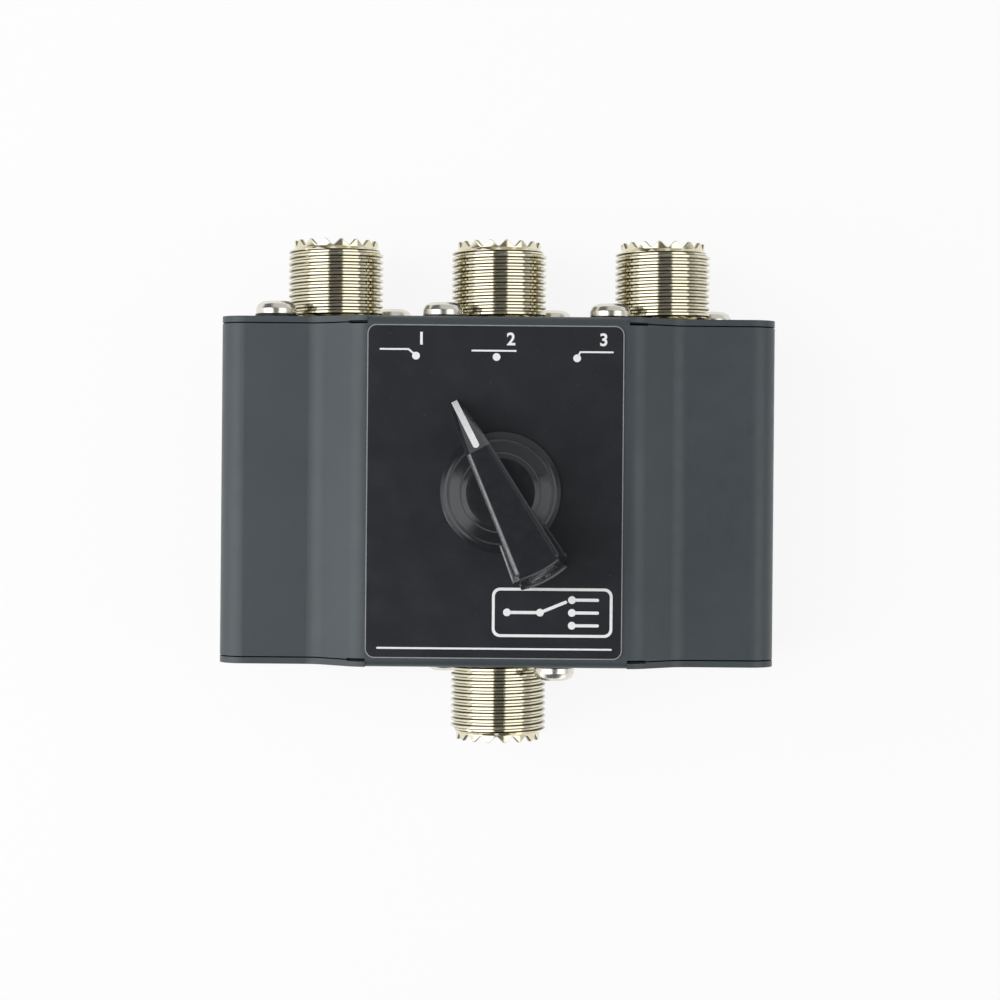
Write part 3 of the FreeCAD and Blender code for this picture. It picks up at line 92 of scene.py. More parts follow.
def to_mesh(bm, name):
    """Hands a bmesh over as a mesh."""
    mesh = bpy.data.meshes.new(name)
    bm.to_mesh(mesh)
    bm.free()
    return mesh


def finished(bm, name, sharp=38):
    """Joins doubled points, turns the faces outwards and gives a smooth mesh."""
    bmesh.ops.remove_doubles(bm, verts=bm.verts, dist=1e-5)
    bmesh.ops.recalc_face_normals(bm, faces=bm.faces)
    mesh = to_mesh(bm, name)
    smooth_below(mesh, sharp)
    return mesh


def baked(obj):
    """Replaces the object's mesh by what its modifiers make of it."""
    evaluated = obj.evaluated_get(bpy.context.evaluated_depsgraph_get())
    mesh = bpy.data.meshes.new_from_object(evaluated)
    obj.modifiers.clear()
    old, obj.data = obj.data, mesh
    bpy.data.meshes.remove(old)


def cut_away(obj, closed_mesh):
    """Takes a closed mesh out of an object."""
    cutter = linked("cutter", closed_mesh)
    step = obj.modifiers.new("cut", "BOOLEAN")
    step.operation = "DIFFERENCE"
    step.solver = "EXACT"
    step.object = cutter
    baked(obj)
    bpy.data.objects.remove(cutter)


def add_bevel(obj, width, segments, angle):
    """Rounds the edges that turn by more than an angle in degrees."""
    step = obj.modifiers.new("bevel", "BEVEL")
    step.width = width
    step.segments = segments
    step.limit_method = "ANGLE"
    step.angle_limit = math.radians(angle)


def steady_normals(obj, sharp=38):
    """Keeps flat faces flat beside rounded edges."""
    smooth_below(obj.data, sharp)
    step = obj.modifiers.new("normals", "WEIGHTED_NORMAL")
    step.keep_sharp = True
    step.weight = 80


# ---------------------------------------------------------------- rows, outlines and plates


def circle_row(radius, height, count):
    """Points round a level circle."""
    steps = (2 * math.pi * k / count for k in range(count))
    return [Vector((radius * math.cos(a), radius * math.sin(a), height)) for a in steps]


def lifted(outline, level):
    """An outline's points at a height."""
    return [Vector((p.x, p.y, level)) for p in outline]


def grid(bm, rows):
    """Faces between closed rows of as many points."""
    lines = [[bm.verts.new(point) for point in row] for row in rows]
    count = len(rows[0])
    for low, high in zip(lines, lines[1:]):
        for index in range(count):
            following = (index + 1) % count
            bm.faces.new((low[index], low[following], high[following], high[index]))
    return lines


def capped(bm, rows):
    """A grid with a face over its first and its last row."""
    lines = grid(bm, rows)
    bm.faces.new(lines[0])
    bm.faces.new(lines[-1])


FILLET_STEPS = 6


def rounded_line(corners):
    """A line through corners given as (r, z, fillet radius), with a curve at each fillet."""
    points = []
    for index, (x, y, radius) in enumerate(corners):
        here = Vector((x, y))
        if radius == 0 or index in (0, len(corners) - 1):
            points.append(here)
            continue
        before = Vector(corners[index - 1][:2]) - here
        after = Vector(corners[index + 1][:2]) - here
        half = before.angle(after) / 2
        reach = min(radius / math.tan(half), before.length * 0.49, after.length * 0.49)
        start, end = here + before.normalized() * reach, here + after.normalized() * reach
        for step in range(FILLET_STEPS + 1):
            k = step / FILLET_STEPS
            points.append(start * (1 - k) ** 2 + here * 2 * k * (1 - k) + end * k ** 2)
    return points


def turned_rows(corners, count):
    """The rings of a rounded profile that is turned about the Z axis."""
    return [circle_row(point.x, point.y, count) for point in rounded_line(corners)]


def round_outline(x0, y0, x1, y1, radius, segments=8):
    """A rectangle with round corners."""
    corners = ((x1, y1, 0), (x0, y1, 90), (x0, y0, 180), (x1, y0, 270))
    points = []
    for x, y, start in corners:
        inner_x = x + (radius if x == x0 else -radius)
        inner_y = y + (radius if y == y0 else -radius)
        for step in range(segments + 1):
            angle = math.radians(start + 90 * step / segments)
            ray = Vector((math.cos(angle), math.sin(angle)))
            points.append(Vector((inner_x, inner_y)) + radius * ray)
    return points


def disc_outline(centre, radius, count):
    """A circle round a point."""
    return [Vector(centre) + p.xy for p in circle_row(radius, 0, count)]


def stroke_outline(start, end, width):
    """A straight stroke with square ends."""
    along = (end - start).normalized()
    across = Vector((-along.y, along.x)) * width / 2
    return [start - across, end - across, end + across, start + across]


def plate_of(bm, outline, low, high):
    """A flat plate of the outline."""
    top = [bm.verts.new(point) for point in lifted(outline, high)]
    foot = [bm.verts.new(point) for point in lifted(outline, low)]
    bm.faces.new(top)
    bm.faces.new(foot[::-1])
    for index in range(len(outline)):
        following = (index + 1) % len(outline)
        bm.faces.new((foot[index], foot[following], top[following], top[index]))


def band_of(bm, outer, inner, low, high):
    """A flat band between two outlines with as many points."""
    rings = ((outer, low), (outer, high), (inner, high), (inner, low), (outer, low))
    grid(bm, [lifted(ring, level) for ring, level in rings])


# ---------------------------------------------------------------- finishes


class Finish:
    """A node material with a Principled shader and a few ways to vary it."""

    def __init__(self, name, base, roughness, metallic=0.0):
        self.material = bpy.data.materials.new(name)
        self.material.use_nodes = True
        self.nodes = self.material.node_tree.nodes
        self.links = self.material.node_tree.links
        self.shader = self.nodes["Principled BSDF"]
        self.base = base
        self.shader.inputs["Base Color"].default_value = (*base, 1)
        self.shader.inputs["Roughness"].default_value = roughness
        self.shader.inputs["Metallic"].default_value = metallic
        self.place = self.nodes.new("ShaderNodeTexCoord").outputs["Object"]

    def noise(self, size, detail, stretch=(1, 1, 1)):
        """Noise whose grains are about size millimetres across."""
        mapping = self.nodes.new("ShaderNodeMapping")
        mapping.inputs["Scale"].default_value = stretch
        self.links.new(self.place, mapping.inputs["Vector"])
        texture = self.nodes.new("ShaderNodeTexNoise")
        texture.inputs["Scale"].default_value = 1 / (size * MM)
        texture.inputs["Detail"].default_value = detail
        self.links.new(mapping.outputs["Vector"], texture.inputs["Vector"])
        return texture.outputs["Fac"]

    def layer(self, name):
        """A number that the mesh carries at each point."""
        node = self.nodes.new("ShaderNodeAttribute")
        node.attribute_name = name
        return node.outputs["Fac"]

    def ranged(self, source, low, high, start=0.3, end=0.7):
        """Spreads a factor from start..end over low..high."""
        node = self.nodes.new("ShaderNodeMapRange")
        node.interpolation_type = "SMOOTHSTEP"
        node.inputs["From Min"].default_value = start
        node.inputs["From Max"].default_value = end
        node.inputs["To Min"].default_value = low
        node.inputs["To Max"].default_value = high
        self.links.new(source, node.inputs["Value"])
        return node.outputs["Result"]

    def tint(self, source, other, start=0.3, end=0.7, most=1.0):
        """Moves the colour towards another where the factor is high."""
        mix = self.nodes.new("ShaderNodeMix")
        mix.data_type = "RGBA"
        mix.inputs["A"].default_value = (*self.base, 1)
        mix.inputs["B"].default_value = (*other, 1)
        base = self.shader.inputs["Base Color"]
        if base.is_linked:
            self.links.new(base.links[0].from_socket, mix.inputs["A"])
        self.links.new(self.ranged(source, 0, most, start, end), mix.inputs["Factor"])
        self.links.new(mix.outputs["Result"], base)
        return self

    def gloss(self, source, low, high):
        """Varies the roughness."""
        self.links.new(self.ranged(source, low, high), self.shader.inputs["Roughness"])
        return self

    def relief(self, source, depth, strength):
        """Bumps of a depth in millimetres."""
        bump = self.nodes.new("ShaderNodeBump")
        bump.inputs["Distance"].default_value = depth * MM
        bump.inputs["Strength"].default_value = strength
        self.links.new(source, bump.inputs["Height"])
        self.links.new(bump.outputs["Normal"], self.shader.inputs["Normal"])
        return self


def shade(colour, factor):
    """A colour made darker."""
    return tuple(channel * factor for channel in colour)


def case_enamel():
    """Satin grey enamel with a faint grain."""
    paint = Finish("case_enamel", (0.042, 0.054, 0.060), 0.41)
    grain = paint.noise(0.28, 4)
    paint.tint(paint.noise(14, 2), (0.047, 0.060, 0.066))
    paint.tint(grain, (0.056, 0.070, 0.076), 0.5, 0.75, 0.5)
    paint.gloss(paint.noise(3.0, 3), 0.38, 0.45)
    return paint.relief(grain, 0.012, 0.5).material


def label_film():
    """Glossy black film with a few pale specks."""
    film = Finish("label_film", (0.020, 0.0215, 0.0255), 0.2)
    film.tint(film.noise(0.5, 2), (0.05, 0.055, 0.06), 0.70, 0.76, 0.5)
    film.gloss(film.noise(5, 4), 0.16, 0.26)
    return film.relief(film.noise(1.6, 2), 0.006, 0.3).material


def white_print():
    """White ink."""
    ink = Finish("white_print", (0.86, 0.87, 0.87), 0.42)
    ink.tint(ink.noise(0.3, 3), (0.76, 0.77, 0.78), 0.45, 0.8)
    return ink.gloss(ink.noise(0.6, 2), 0.36, 0.5).material


def border_print():
    """Ink that lets the film show through."""
    ink = Finish("border_print", (0.30, 0.31, 0.32), 0.38)
    ink.tint(ink.noise(0.4, 3), (0.23, 0.24, 0.25), 0.4, 0.8)
    return ink.gloss(ink.noise(0.6, 2), 0.32, 0.46).material


def nickel_plate():
    """Bright, slightly yellow plating, darkened by painted shade in the thread's grooves and in
    gaps.
    """
    plate = Finish("nickel_plate", (0.79, 0.75, 0.575), 0.12, 1.0)
    plate.tint(plate.noise(4, 3), (0.74, 0.68, 0.50), 0.35, 0.75)
    # Painted shade: a near-black tint on the thread's flanks and roots, the neck, the socket, the
    # teeth's tops and the flange's edges.
    plate.tint(plate.layer("painted_groove_shade"), (0.10, 0.08, 0.05), 0.3, 1.0, 0.95)
    plate.gloss(plate.noise(0.5, 4), 0.08, 0.17)
    return plate.relief(plate.noise(1.2, 5, (1, 14, 1)), 0.008, 0.35).material


def plated_screw():
    """Calmer plating, darkened by painted shade inside the cross."""
    plate = Finish("plated_screw", (0.78, 0.76, 0.69), 0.3, 1.0)
    plate.tint(plate.noise(3, 3), (0.70, 0.68, 0.61), 0.4, 0.8)
    # Painted shade: a near-black tint on the floor of the cross.
    plate.tint(plate.layer("painted_groove_shade"), (0.10, 0.09, 0.07), 0.3, 1.0, 0.85)
    plate.gloss(plate.noise(0.6, 4), 0.2, 0.28)
    return plate.relief(plate.noise(0.4, 4), 0.003, 0.3).material


def knob_plastic():
    """Black moulded plastic with a soft gloss."""
    plastic = Finish("knob_plastic", (0.0125, 0.0145, 0.0170), 0.18)
    plastic.tint(plastic.noise(2.5, 3), (0.016, 0.0185, 0.0215))
    plastic.gloss(plastic.noise(1.2, 4), 0.13, 0.24)
    return plastic.relief(plastic.noise(0.5, 3), 0.004, 0.35).material


def plain_metal(name, base, roughness, size, stretch=(1, 1, 1)):
    """Plated, turned or rolled metal with a fine grain."""
    metal = Finish(name, base, roughness, 1.0)
    metal.tint(metal.noise(size * 4, 3), shade(base, 0.8))
    metal.gloss(metal.noise(size, 4, stretch), roughness * 0.75, roughness * 1.35)
    return metal.relief(metal.noise(size / 2, 4, stretch), 0.006, 0.4).material


def plain_plastic(name, base, roughness, size=0.5, contrast=0.75):
    """Moulded or laminated plastic."""
    plastic = Finish(name, base, roughness)
    plastic.tint(plastic.noise(size * 5, 4), shade(base, contrast))
    plastic.gloss(plastic.noise(size, 3), roughness * 0.8, roughness * 1.2)
    return plastic.relief(plastic.noise(size / 2, 3), 0.008, 0.4).material


def dark_coating(name, base):
    """Blackened steel with brighter rubbed spots."""
    coat = Finish(name, base, 0.42, 0.6)
    coat.tint(coat.noise(0.5, 4), (0.09, 0.09, 0.09), 0.55, 0.8, 0.5)
    coat.gloss(coat.noise(0.4, 3), 0.34, 0.5)
    return coat.relief(coat.noise(0.3, 3), 0.006, 0.4).material


FINISHES = {
    "case_paint": case_enamel(),
    "label_film": label_film(),
    "dark_screws": dark_coating("dark_screws", (0.022, 0.022, 0.024)),
    "dark_washers": dark_coating("dark_washers", (0.03, 0.03, 0.03)),
    "zinc_steel": plain_metal("zinc_steel", (0.60, 0.60, 0.57), 0.3, 0.8, (1, 1, 6)),
    "nickel_screws": plated_screw(),
    "knob_plastic": knob_plastic(),
    "white_fill": white_print(),
    "turned_brass": plain_metal("turned_brass", (0.72, 0.55, 0.27), 0.24, 0.6, (1, 1, 8)),
    "spring_steel": plain_metal("spring_steel", (0.52, 0.53, 0.54), 0.22, 0.6, (1, 6, 1)),
    "phenolic": plain_plastic("phenolic", (0.24, 0.12, 0.05), 0.5, 0.8, 0.6),
    "rotor_plastic": plain_plastic("rotor_plastic", (0.68, 0.64, 0.55), 0.45),
    "silvered_brass": plain_metal("silvered_brass", (0.82, 0.80, 0.74), 0.2, 0.5),
    "nickel_plate": nickel_plate(),
    "insulator_plastic": plain_plastic("insulator_plastic", (0.07, 0.05, 0.035), 0.4, 0.4),
    "tinned_wire": plain_metal("tinned_wire", (0.74, 0.72, 0.68), 0.26, 0.5),
}


def paint(obj, material):
    """Gives an object one finish."""
    obj.data.materials.clear()
    obj.data.materials.append(material)


def piece(obj, slot, body, *nodes):
    """A piece: its finish, the body it rides on and the CAD nodes it stands for."""
    paint(obj, FINISHES[slot])
    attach(obj, body)
    if nodes:
        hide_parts(*nodes)
    return obj


for part in frame["record"]["subparts"]:
    node = frame["nodes"][part["node"]]
    paint(node, FINISHES[part["material_slot"]])
    smooth_below(node.data, 32)

# The paint rounds over the cut edges of the sheet metal.
front_case = frame["nodes"]["front_case"]
add_bevel(front_case, 0.22 * MM, 3, 45)
front_case.modifiers.new("normals", "WEIGHTED_NORMAL").keep_sharp = True


# ---------------------------------------------------------------- the jacks

PITCH = 1.058
# Radii of the thread's crests and roots, the plain rim and the socket.
MAJOR, ROOT, RIM, SOCKET = 7.94, 7.46, 6.98, 6.25
# Distances out from the wall: where the thread starts and ends, and the teeth's tips.
NECK, THREAD_END, TIP = 0.45, 12.2, 13.4
# The same, inwards: the wall's inner face and the flange's, and the insulator's face outwards.
WALL_BACK, FLANGE_BACK, INSULATOR_FACE = -1.0, -2.6, 4.9
TEETH, TOOTH_DEPTH = 16, 1.0
AROUND = TEETH * 12
RIM_EDGE, MOUTH_EDGE = 0.14, 0.1
# How strong the painted shade is on the neck and down the socket.
NECK_PAINTED_SHADE, SOCKET_PAINTED_SHADE = 0.9, 0.6
FLANGE_SIDE, SHEARED_EDGE, FLANGE_HOLE = 25.4, 0.15, 1.7
# How far each barrel is turned, so that its teeth stand as they do on the real one.
BARREL_TURN = {"1": 10.5, "2": 10.0, "3": -8.0, "input": -9.4}
# One turn of thread: where along the pitch, how far below the crest (0 to 1), how strong its
# painted shade is.
PROFILE = (
    (0.0, 0.0, 0.0), (0.14, 0.0, 0.1), (0.19, 0.12, 0.75), (0.30, 0.88, 1.0), (0.35, 1.0, 0.8),
    (0.5, 1.0, 0.12), (0.65, 1.0, 0.8), (0.70, 0.88, 1.0), (0.81, 0.12, 0.75), (0.86, 0.0, 0.1),
)


def eased(number):
    """A soft step from 0 to 1."""
    number = min(1, max(0, number))
    return number * number * (3 - 2 * number)


def mark(lines, layer, painted_dark):
    """Sets how strong the painted shade is along rows of points."""
    for line in lines:
        for vert in line:
            vert[layer] = painted_dark


def thread(bm, layer):
    """A right-hand thread that grows out of the neck and ends below the rim."""
    turns = range(-1, int((THREAD_END - NECK) / PITCH) + 2)
    steps = [(turn + along, deep, painted_dark) for turn in turns for along, deep, painted_dark in PROFILE]
    lines = []
    for phase, deep, painted_dark in steps:
        cut = MAJOR + (ROOT - MAJOR) * deep
        line = []
        for k in range(AROUND):
            angle = 2 * math.pi * k / AROUND
            height = min(THREAD_END, max(NECK, NECK + (phase + k / AROUND) * PITCH))
            begun = eased((height - NECK) / (0.5 * PITCH))
            shown = begun * eased((THREAD_END - height) / (0.7 * PITCH))
            radius = RIM + (cut - RIM) * shown
            vert = bm.verts.new((radius * math.cos(angle), radius * math.sin(angle), height))
            # Painted shade: darker down the flanks and roots, and where the thread grows out of the
            # neck.
            vert[layer] = max(painted_dark * shown, NECK_PAINTED_SHADE * (1 - begun))
            line.append(vert)
        lines.append(line)
    # A row's last point meets the first point of the row that lies one whole turn on.
    whole = len(PROFILE)
    for row, (low, high) in enumerate(zip(lines, lines[1:])):
        for k in range(AROUND - 1):
            bm.faces.new((low[k], low[k + 1], high[k + 1], high[k]))
        if row + whole + 1 < len(lines):
            bm.faces.new((low[-1], lines[row + whole][0], lines[row + whole + 1][0], high[-1]))


def notch(k):
    """How deep the rim is cut at a step round it: a V with a narrow floor between teeth."""
    turn = (k * TEETH / AROUND) % 1
    away = abs(2 * turn - 1)
    return TOOTH_DEPTH * min(1, max(0, (0.87 - away) / 0.74))


def toothed_row(radius, below):
    """A ring that follows the teeth, a little below them."""
    row = circle_row(radius, 0, AROUND)
    for k, point in enumerate(row):
        point.z = TIP - notch(k) - below
    return row


def flange_plate(bm, layer):
    """The square flange inside the wall, with its bore, four holes and painted shade on its sheared
    edges.
    """
    half = FLANGE_SIDE / 2 - SHEARED_EDGE
    corners = ((half, half), (-half, half), (-half, -half), (half, -half))
    square = [Vector(corner) for corner in corners]
    holes = [disc_outline((0, 0), RIM - 0.05, 64)]
    for x in (-HOLE_REACH, HOLE_REACH):
        for y in (-HOLE_REACH, HOLE_REACH):
            holes.append(disc_outline((x, y), FLANGE_HOLE, 24))
    for level in (WALL_BACK, FLANGE_BACK):
        edges = []
        for loop in [square, *holes]:
            verts = [bm.verts.new(point) for point in lifted(loop, level)]
            edges += [bm.edges.new(ends) for ends in zip(verts, verts[1:] + verts[:1])]
        bmesh.ops.triangle_fill(bm, use_beauty=True, edges=edges)
    for loop in holes:
        grid(bm, [lifted(loop, level) for level in (WALL_BACK, FLANGE_BACK)])
    wide = [point * (1 + SHEARED_EDGE / half) for point in square]
    rows = (
        (square, WALL_BACK), (wide, WALL_BACK - SHEARED_EDGE),
        (wide, FLANGE_BACK + SHEARED_EDGE), (square, FLANGE_BACK),
    )
    lines = grid(bm, [lifted(outline, level) for outline, level in rows])
    # Full painted shade on the sheared edges, which stand in a narrow gap.
    mark(lines[1:3], layer, 1.0)


def barrel_mesh(turn):
    """The threaded barrel with its toothed rim, turned about its axis, and its flange."""
    bm = bmesh.new()
    layer = bm.verts.layers.float.new("painted_groove_shade")
    thread(bm, layer)
    neck = grid(bm, [circle_row(RIM, height, AROUND) for height in (WALL_BACK, NECK)])
    # The neck is in painted shade.
    mark(neck, layer, NECK_PAINTED_SHADE)
    # Each ring with the strength of its painted shade: strongest on the teeth's tops, less round
    # the mouth, and part shade down the socket.
    rings = [
        (circle_row(RIM, THREAD_END, AROUND), 0.3),
        (toothed_row(RIM, RIM_EDGE), 0.0),
        (toothed_row(RIM - RIM_EDGE, 0.0), 1.0),
        (toothed_row(SOCKET + MOUTH_EDGE, 0.0), 0.5),
        (toothed_row(SOCKET, MOUTH_EDGE), 0.2),
    ]
    for height in (11.0, INSULATOR_FACE, FLANGE_BACK):
        rings.append((circle_row(SOCKET, height, AROUND), SOCKET_PAINTED_SHADE))
    for line, (_, painted_dark) in zip(grid(bm, [row for row, _ in rings]), rings):
        mark([line], layer, painted_dark)
    spin = Matrix.Rotation(math.radians(turn), 3, "Z")
    bmesh.ops.rotate(bm, verts=bm.verts, matrix=spin)
    flange_plate(bm, layer)
    return finished(bm, "jack_barrel", 21)


for jack, x, side in JACKS:
    barrel = new_object(f"jack_{jack}_barrel", barrel_mesh(BARREL_TURN[jack]), wall_matrix(x, side))
    piece(barrel, "nickel_plate", "housing", f"jack_{jack}_shell")


# ---------------------------------------------------------------- the screws

CROSS_MOUTH, CROSS_FLOOR = 2.9, 1.45


def slot_mesh(turn):
    """A flat plug that narrows downwards: one arm of the cross in a screw's head."""
    bm = bmesh.new()
    spin = Matrix.Rotation(math.radians(turn), 3, "Z")
    rows = []
    for height, reach, half in ((CROSS_MOUTH, 1.85, 0.5), (CROSS_FLOOR, 0.75, 0.34)):
        corners = ((reach, half), (-reach, half), (-reach, -half), (reach, -half))
        rows.append([spin @ Vector((x, y, height)) for x, y in corners])
    capped(bm, rows)
    return finished(bm, "slot")


def pan_screw():
    """One screw with a domed head and a cross, the wall's outer face at zero."""
    bm = bmesh.new()
    corners = (
        (0.05, -6.5, 0), (1.45, -6.5, 0.3), (1.45, 0.5, 0), (3.3, 0.5, 0.12),
        (3.3, 1.45, 0.35), (2.95, 2.2, 0.6), (2.1, 2.66, 0.9), (0.05, 2.82, 0),
    )
    capped(bm, turned_rows(corners, 64))
    screw = linked("screw", finished(bm, "screw"))
    for turn in (0, 90):
        cut_away(screw, slot_mesh(turn))
    mesh = screw.data.copy()
    bpy.data.objects.remove(screw)
    return mesh


def screw_set():
    """The eight screws in one mesh, each turned a little differently, with painted shade inside the
    cross.
    """
    bm = bmesh.new()
    one = pan_screw()
    painted_dark = []
    for vert in one.vertices:
        # Points on the floor of the cross get painted shade.
        in_cross = abs(vert.co.z - CROSS_FLOOR) < 0.15 and vert.co.xy.length < 1
        painted_dark.append(float(in_cross))
    count = 0
    for _, jack_x, side in JACKS:
        for reach in (-HOLE_REACH, HOLE_REACH):
            count += 1
            place = wall_matrix(jack_x + side * reach, side, JACK_HEIGHT - reach)
            copy = one.copy()
            copy.transform(place @ Matrix.Rotation(math.radians(37 * count), 4, "Z"))
            bm.from_mesh(copy)
            bpy.data.meshes.remove(copy)
    bpy.data.meshes.remove(one)
    mesh = to_mesh(bm, "pan_screws")
    painted_groove_shade = mesh.attributes.new("painted_groove_shade", "FLOAT", "POINT")
    painted_groove_shade.data.foreach_set("value", painted_dark * count)
    return mesh


screws = new_object("pan_screws", screw_set())
steady_normals(piece(screws, "nickel_screws", "housing", "jack_screws"))


# ---------------------------------------------------------------- the label's print

PRINT_LOW, PRINT_TOP = LABEL_TOP, LABEL_TOP + 0.02
# Discs and joints stand a hair above the strokes that end in them.
JOINT_TOP, DOT_TOP = PRINT_TOP + 0.001, PRINT_TOP + 0.002
LABEL_MIDDLE, BORDER_X, BORDER_Y, BORDER_WIDTH = -0.42, 20.58, 26.73, 0.17
DOT_RADIUS, LEADER_WIDTH, RULE_WIDTH, SYMBOL_WIDTH = 0.62, 0.28, 0.3, 0.5
# A numeral's height, as a share of the font's size too, and how far its outline is swollen.
NUMERAL_HEIGHT, FONT_SHARE, SWELLING = 1.95, 0.7, 0.07
DOTS = ((-13.2, 21.7), (-0.3, 21.6), (12.6, 21.5))
NUMERALS = (("1", -12.35, 23.55), ("2", 2.0, 23.55), ("3", 16.85, 23.55))
LEADERS = (
    ((-18.9, 22.75), (-14.4, 22.75), (-13.2, 21.75)),
    ((-4.2, 22.6), (2.75, 22.6)),
    ((12.6, 21.55), (13.1, 22.5), (18.3, 22.5)),
)
RULE = ((-19.0, -25.1), (18.4, -25.1))
# The switch symbol: its frame, its feed and pivot, the blade's end and the three contacts.
FRAME_OUTER = (-0.7, -23.2, 18.6, -15.3, 1.3)
FRAME_INNER = (-0.25, -22.75, 18.15, -15.75, 0.95)
FEED, PIVOT, BLADE_END = (1.7, -19.25), (7.0, -19.25), (11.1, -17.55)
CONTACTS, CONTACT_LINE = ((12.1, -17.2), (12.1, -19.25), (12.1, -21.3)), 4.1


def strokes(bm, points, width):
    """A line of straight strokes with round joints."""
    corners = [Vector(p) for p in points]
    for start, end in zip(corners, corners[1:]):
        plate_of(bm, stroke_outline(start, end, width), PRINT_LOW, PRINT_TOP)
    for corner in corners:
        plate_of(bm, disc_outline(corner, width / 2, 16), PRINT_LOW, JOINT_TOP)


def numeral(bm, text, x, y):
    """A plain numeral with its foot at y, centred on x."""
    curve = bpy.data.curves.new("numeral", "FONT")
    curve.body = text
    curve.size = NUMERAL_HEIGHT / FONT_SHARE
    curve.align_x = "CENTER"
    curve.extrude = (PRINT_TOP - PRINT_LOW) / 2
    curve.offset = SWELLING
    obj = linked("numeral", curve)
    bpy.context.view_layer.update()
    evaluated = obj.evaluated_get(bpy.context.evaluated_depsgraph_get())
    mesh = bpy.data.meshes.new_from_object(evaluated)
    mesh.transform(Matrix.Translation((x, y, (PRINT_LOW + PRINT_TOP) / 2)))
    bm.from_mesh(mesh)
    bpy.data.objects.remove(obj)
    bpy.data.curves.remove(curve)
    bpy.data.meshes.remove(mesh)


def schematic(bm):
    """A generic switch symbol in a round-cornered frame: one feed, a blade, three contacts."""
    band_of(bm, round_outline(*FRAME_OUTER), round_outline(*FRAME_INNER), PRINT_LOW, PRINT_TOP)
    strokes(bm, (FEED, PIVOT), SYMBOL_WIDTH)
    strokes(bm, (PIVOT, BLADE_END), SYMBOL_WIDTH)
    for x, y in CONTACTS:
        strokes(bm, ((x, y), (x + CONTACT_LINE, y)), SYMBOL_WIDTH)
    for centre in (PIVOT, FEED, *CONTACTS):
        plate_of(bm, disc_outline(centre, DOT_RADIUS, 28), PRINT_LOW, DOT_TOP)


def label_print():
    """All the white print in one mesh."""
    bm = bmesh.new()
    for centre in DOTS:
        plate_of(bm, disc_outline(centre, DOT_RADIUS, 32), PRINT_LOW, DOT_TOP)
    for points in LEADERS:
        strokes(bm, points, LEADER_WIDTH)
    for text, x, y in NUMERALS:
        numeral(bm, text, x, y)
    schematic(bm)
    strokes(bm, RULE, RULE_WIDTH)
    return to_mesh(bm, "label_print")


def label_border():
    """The thin line round the label."""
    bm = bmesh.new()
    outlines = []
    for inset in (0, BORDER_WIDTH):
        x, y = BORDER_X - inset, BORDER_Y - inset
        outlines.append(round_outline(LABEL_MIDDLE - x, -y, LABEL_MIDDLE + x, y, 1.5 - inset, 12))
    band_of(bm, *outlines, PRINT_LOW, PRINT_TOP)
    return finished(bm, "label_border")


piece(new_object("label_print", label_print()), "white_fill", "housing")
border = piece(new_object("label_border", label_border()), "white_fill", "housing")
paint(border, border_print())


# ---------------------------------------------------------------- the knob

# Heights above the knob's foot, and distances from its axis towards the nose.
GRIP_FOOT, GRIP_TOP = 1.6, 15.2
GRIP_RISE = GRIP_TOP - GRIP_FOOT
NOSE_REACH, NOSE_HEIGHT, FACET_START = 16.3, 3.4, 7.5
FACET_FALL = (GRIP_TOP - NOSE_HEIGHT) / (NOSE_REACH - FACET_START)
# Half widths and distances from the axis: the nose, the tail's corners and the tail's end.
FOOT_NOSE, FOOT_CORNER, FOOT_END = (0.9, NOSE_REACH), (4.87, -13.9), (4.1, -14.3)
TOP_NOSE, TOP_CORNER, TOP_END = (1.31, NOSE_REACH), (3.75, -12.2), (3.35, -12.75)
FOOT_ARC, TOP_ARC = 15.98, 13.65
# The lip along the foot, and how far the wall above it is set in.
LIP_EDGE, LIP_TOP, WALL_INSET = 0.4, 0.65, 0.25
SIDE_ROUND, TAIL_ROUND = 0.75, 0.45
SCREW_HOLE, SCREW_HEIGHT = 1.7, 6.05
# The white line: half its width, where it starts and ends, how far it stands in and out.
LINE_HALF, LINE_START, LINE_END, LINE_LEVELS = 0.5, 7.85, 16.15, (-0.1, 0.025)


def grip_point(along, up):
    """A point of the grip's right side.

    Along runs from the tail's corner at 0 to the nose at 1, from the tail's end at -1 to
    the corner just below 0, and across the tail's arc to its middle at -2.
    """
    if along < 0:
        foot, top = Vector(FOOT_END), Vector(TOP_END)
        if along < -1:
            share = -1 - along
            foot.x, top.x = foot.x * (1 - share), top.x * (1 - share)
            foot.y = -math.sqrt(FOOT_ARC ** 2 - foot.x ** 2)
            top.y = -math.sqrt(TOP_ARC ** 2 - top.x ** 2)
    else:
        foot = Vector(FOOT_CORNER).lerp(Vector(FOOT_NOSE), along)
        top = Vector(TOP_CORNER).lerp(Vector(TOP_NOSE), along)
    level = foot.lerp(top, up)
    return Vector((level.x, level.y, GRIP_FOOT + GRIP_RISE * up))


def highest(along):
    """How far up the side reaches before the nose's slope cuts it off."""
    low, high = grip_point(along, 0), grip_point(along, 1)
    rise = GRIP_RISE - FACET_FALL * (low.y - FACET_START)
    return min(1, rise / (GRIP_RISE + FACET_FALL * (high.y - low.y)))


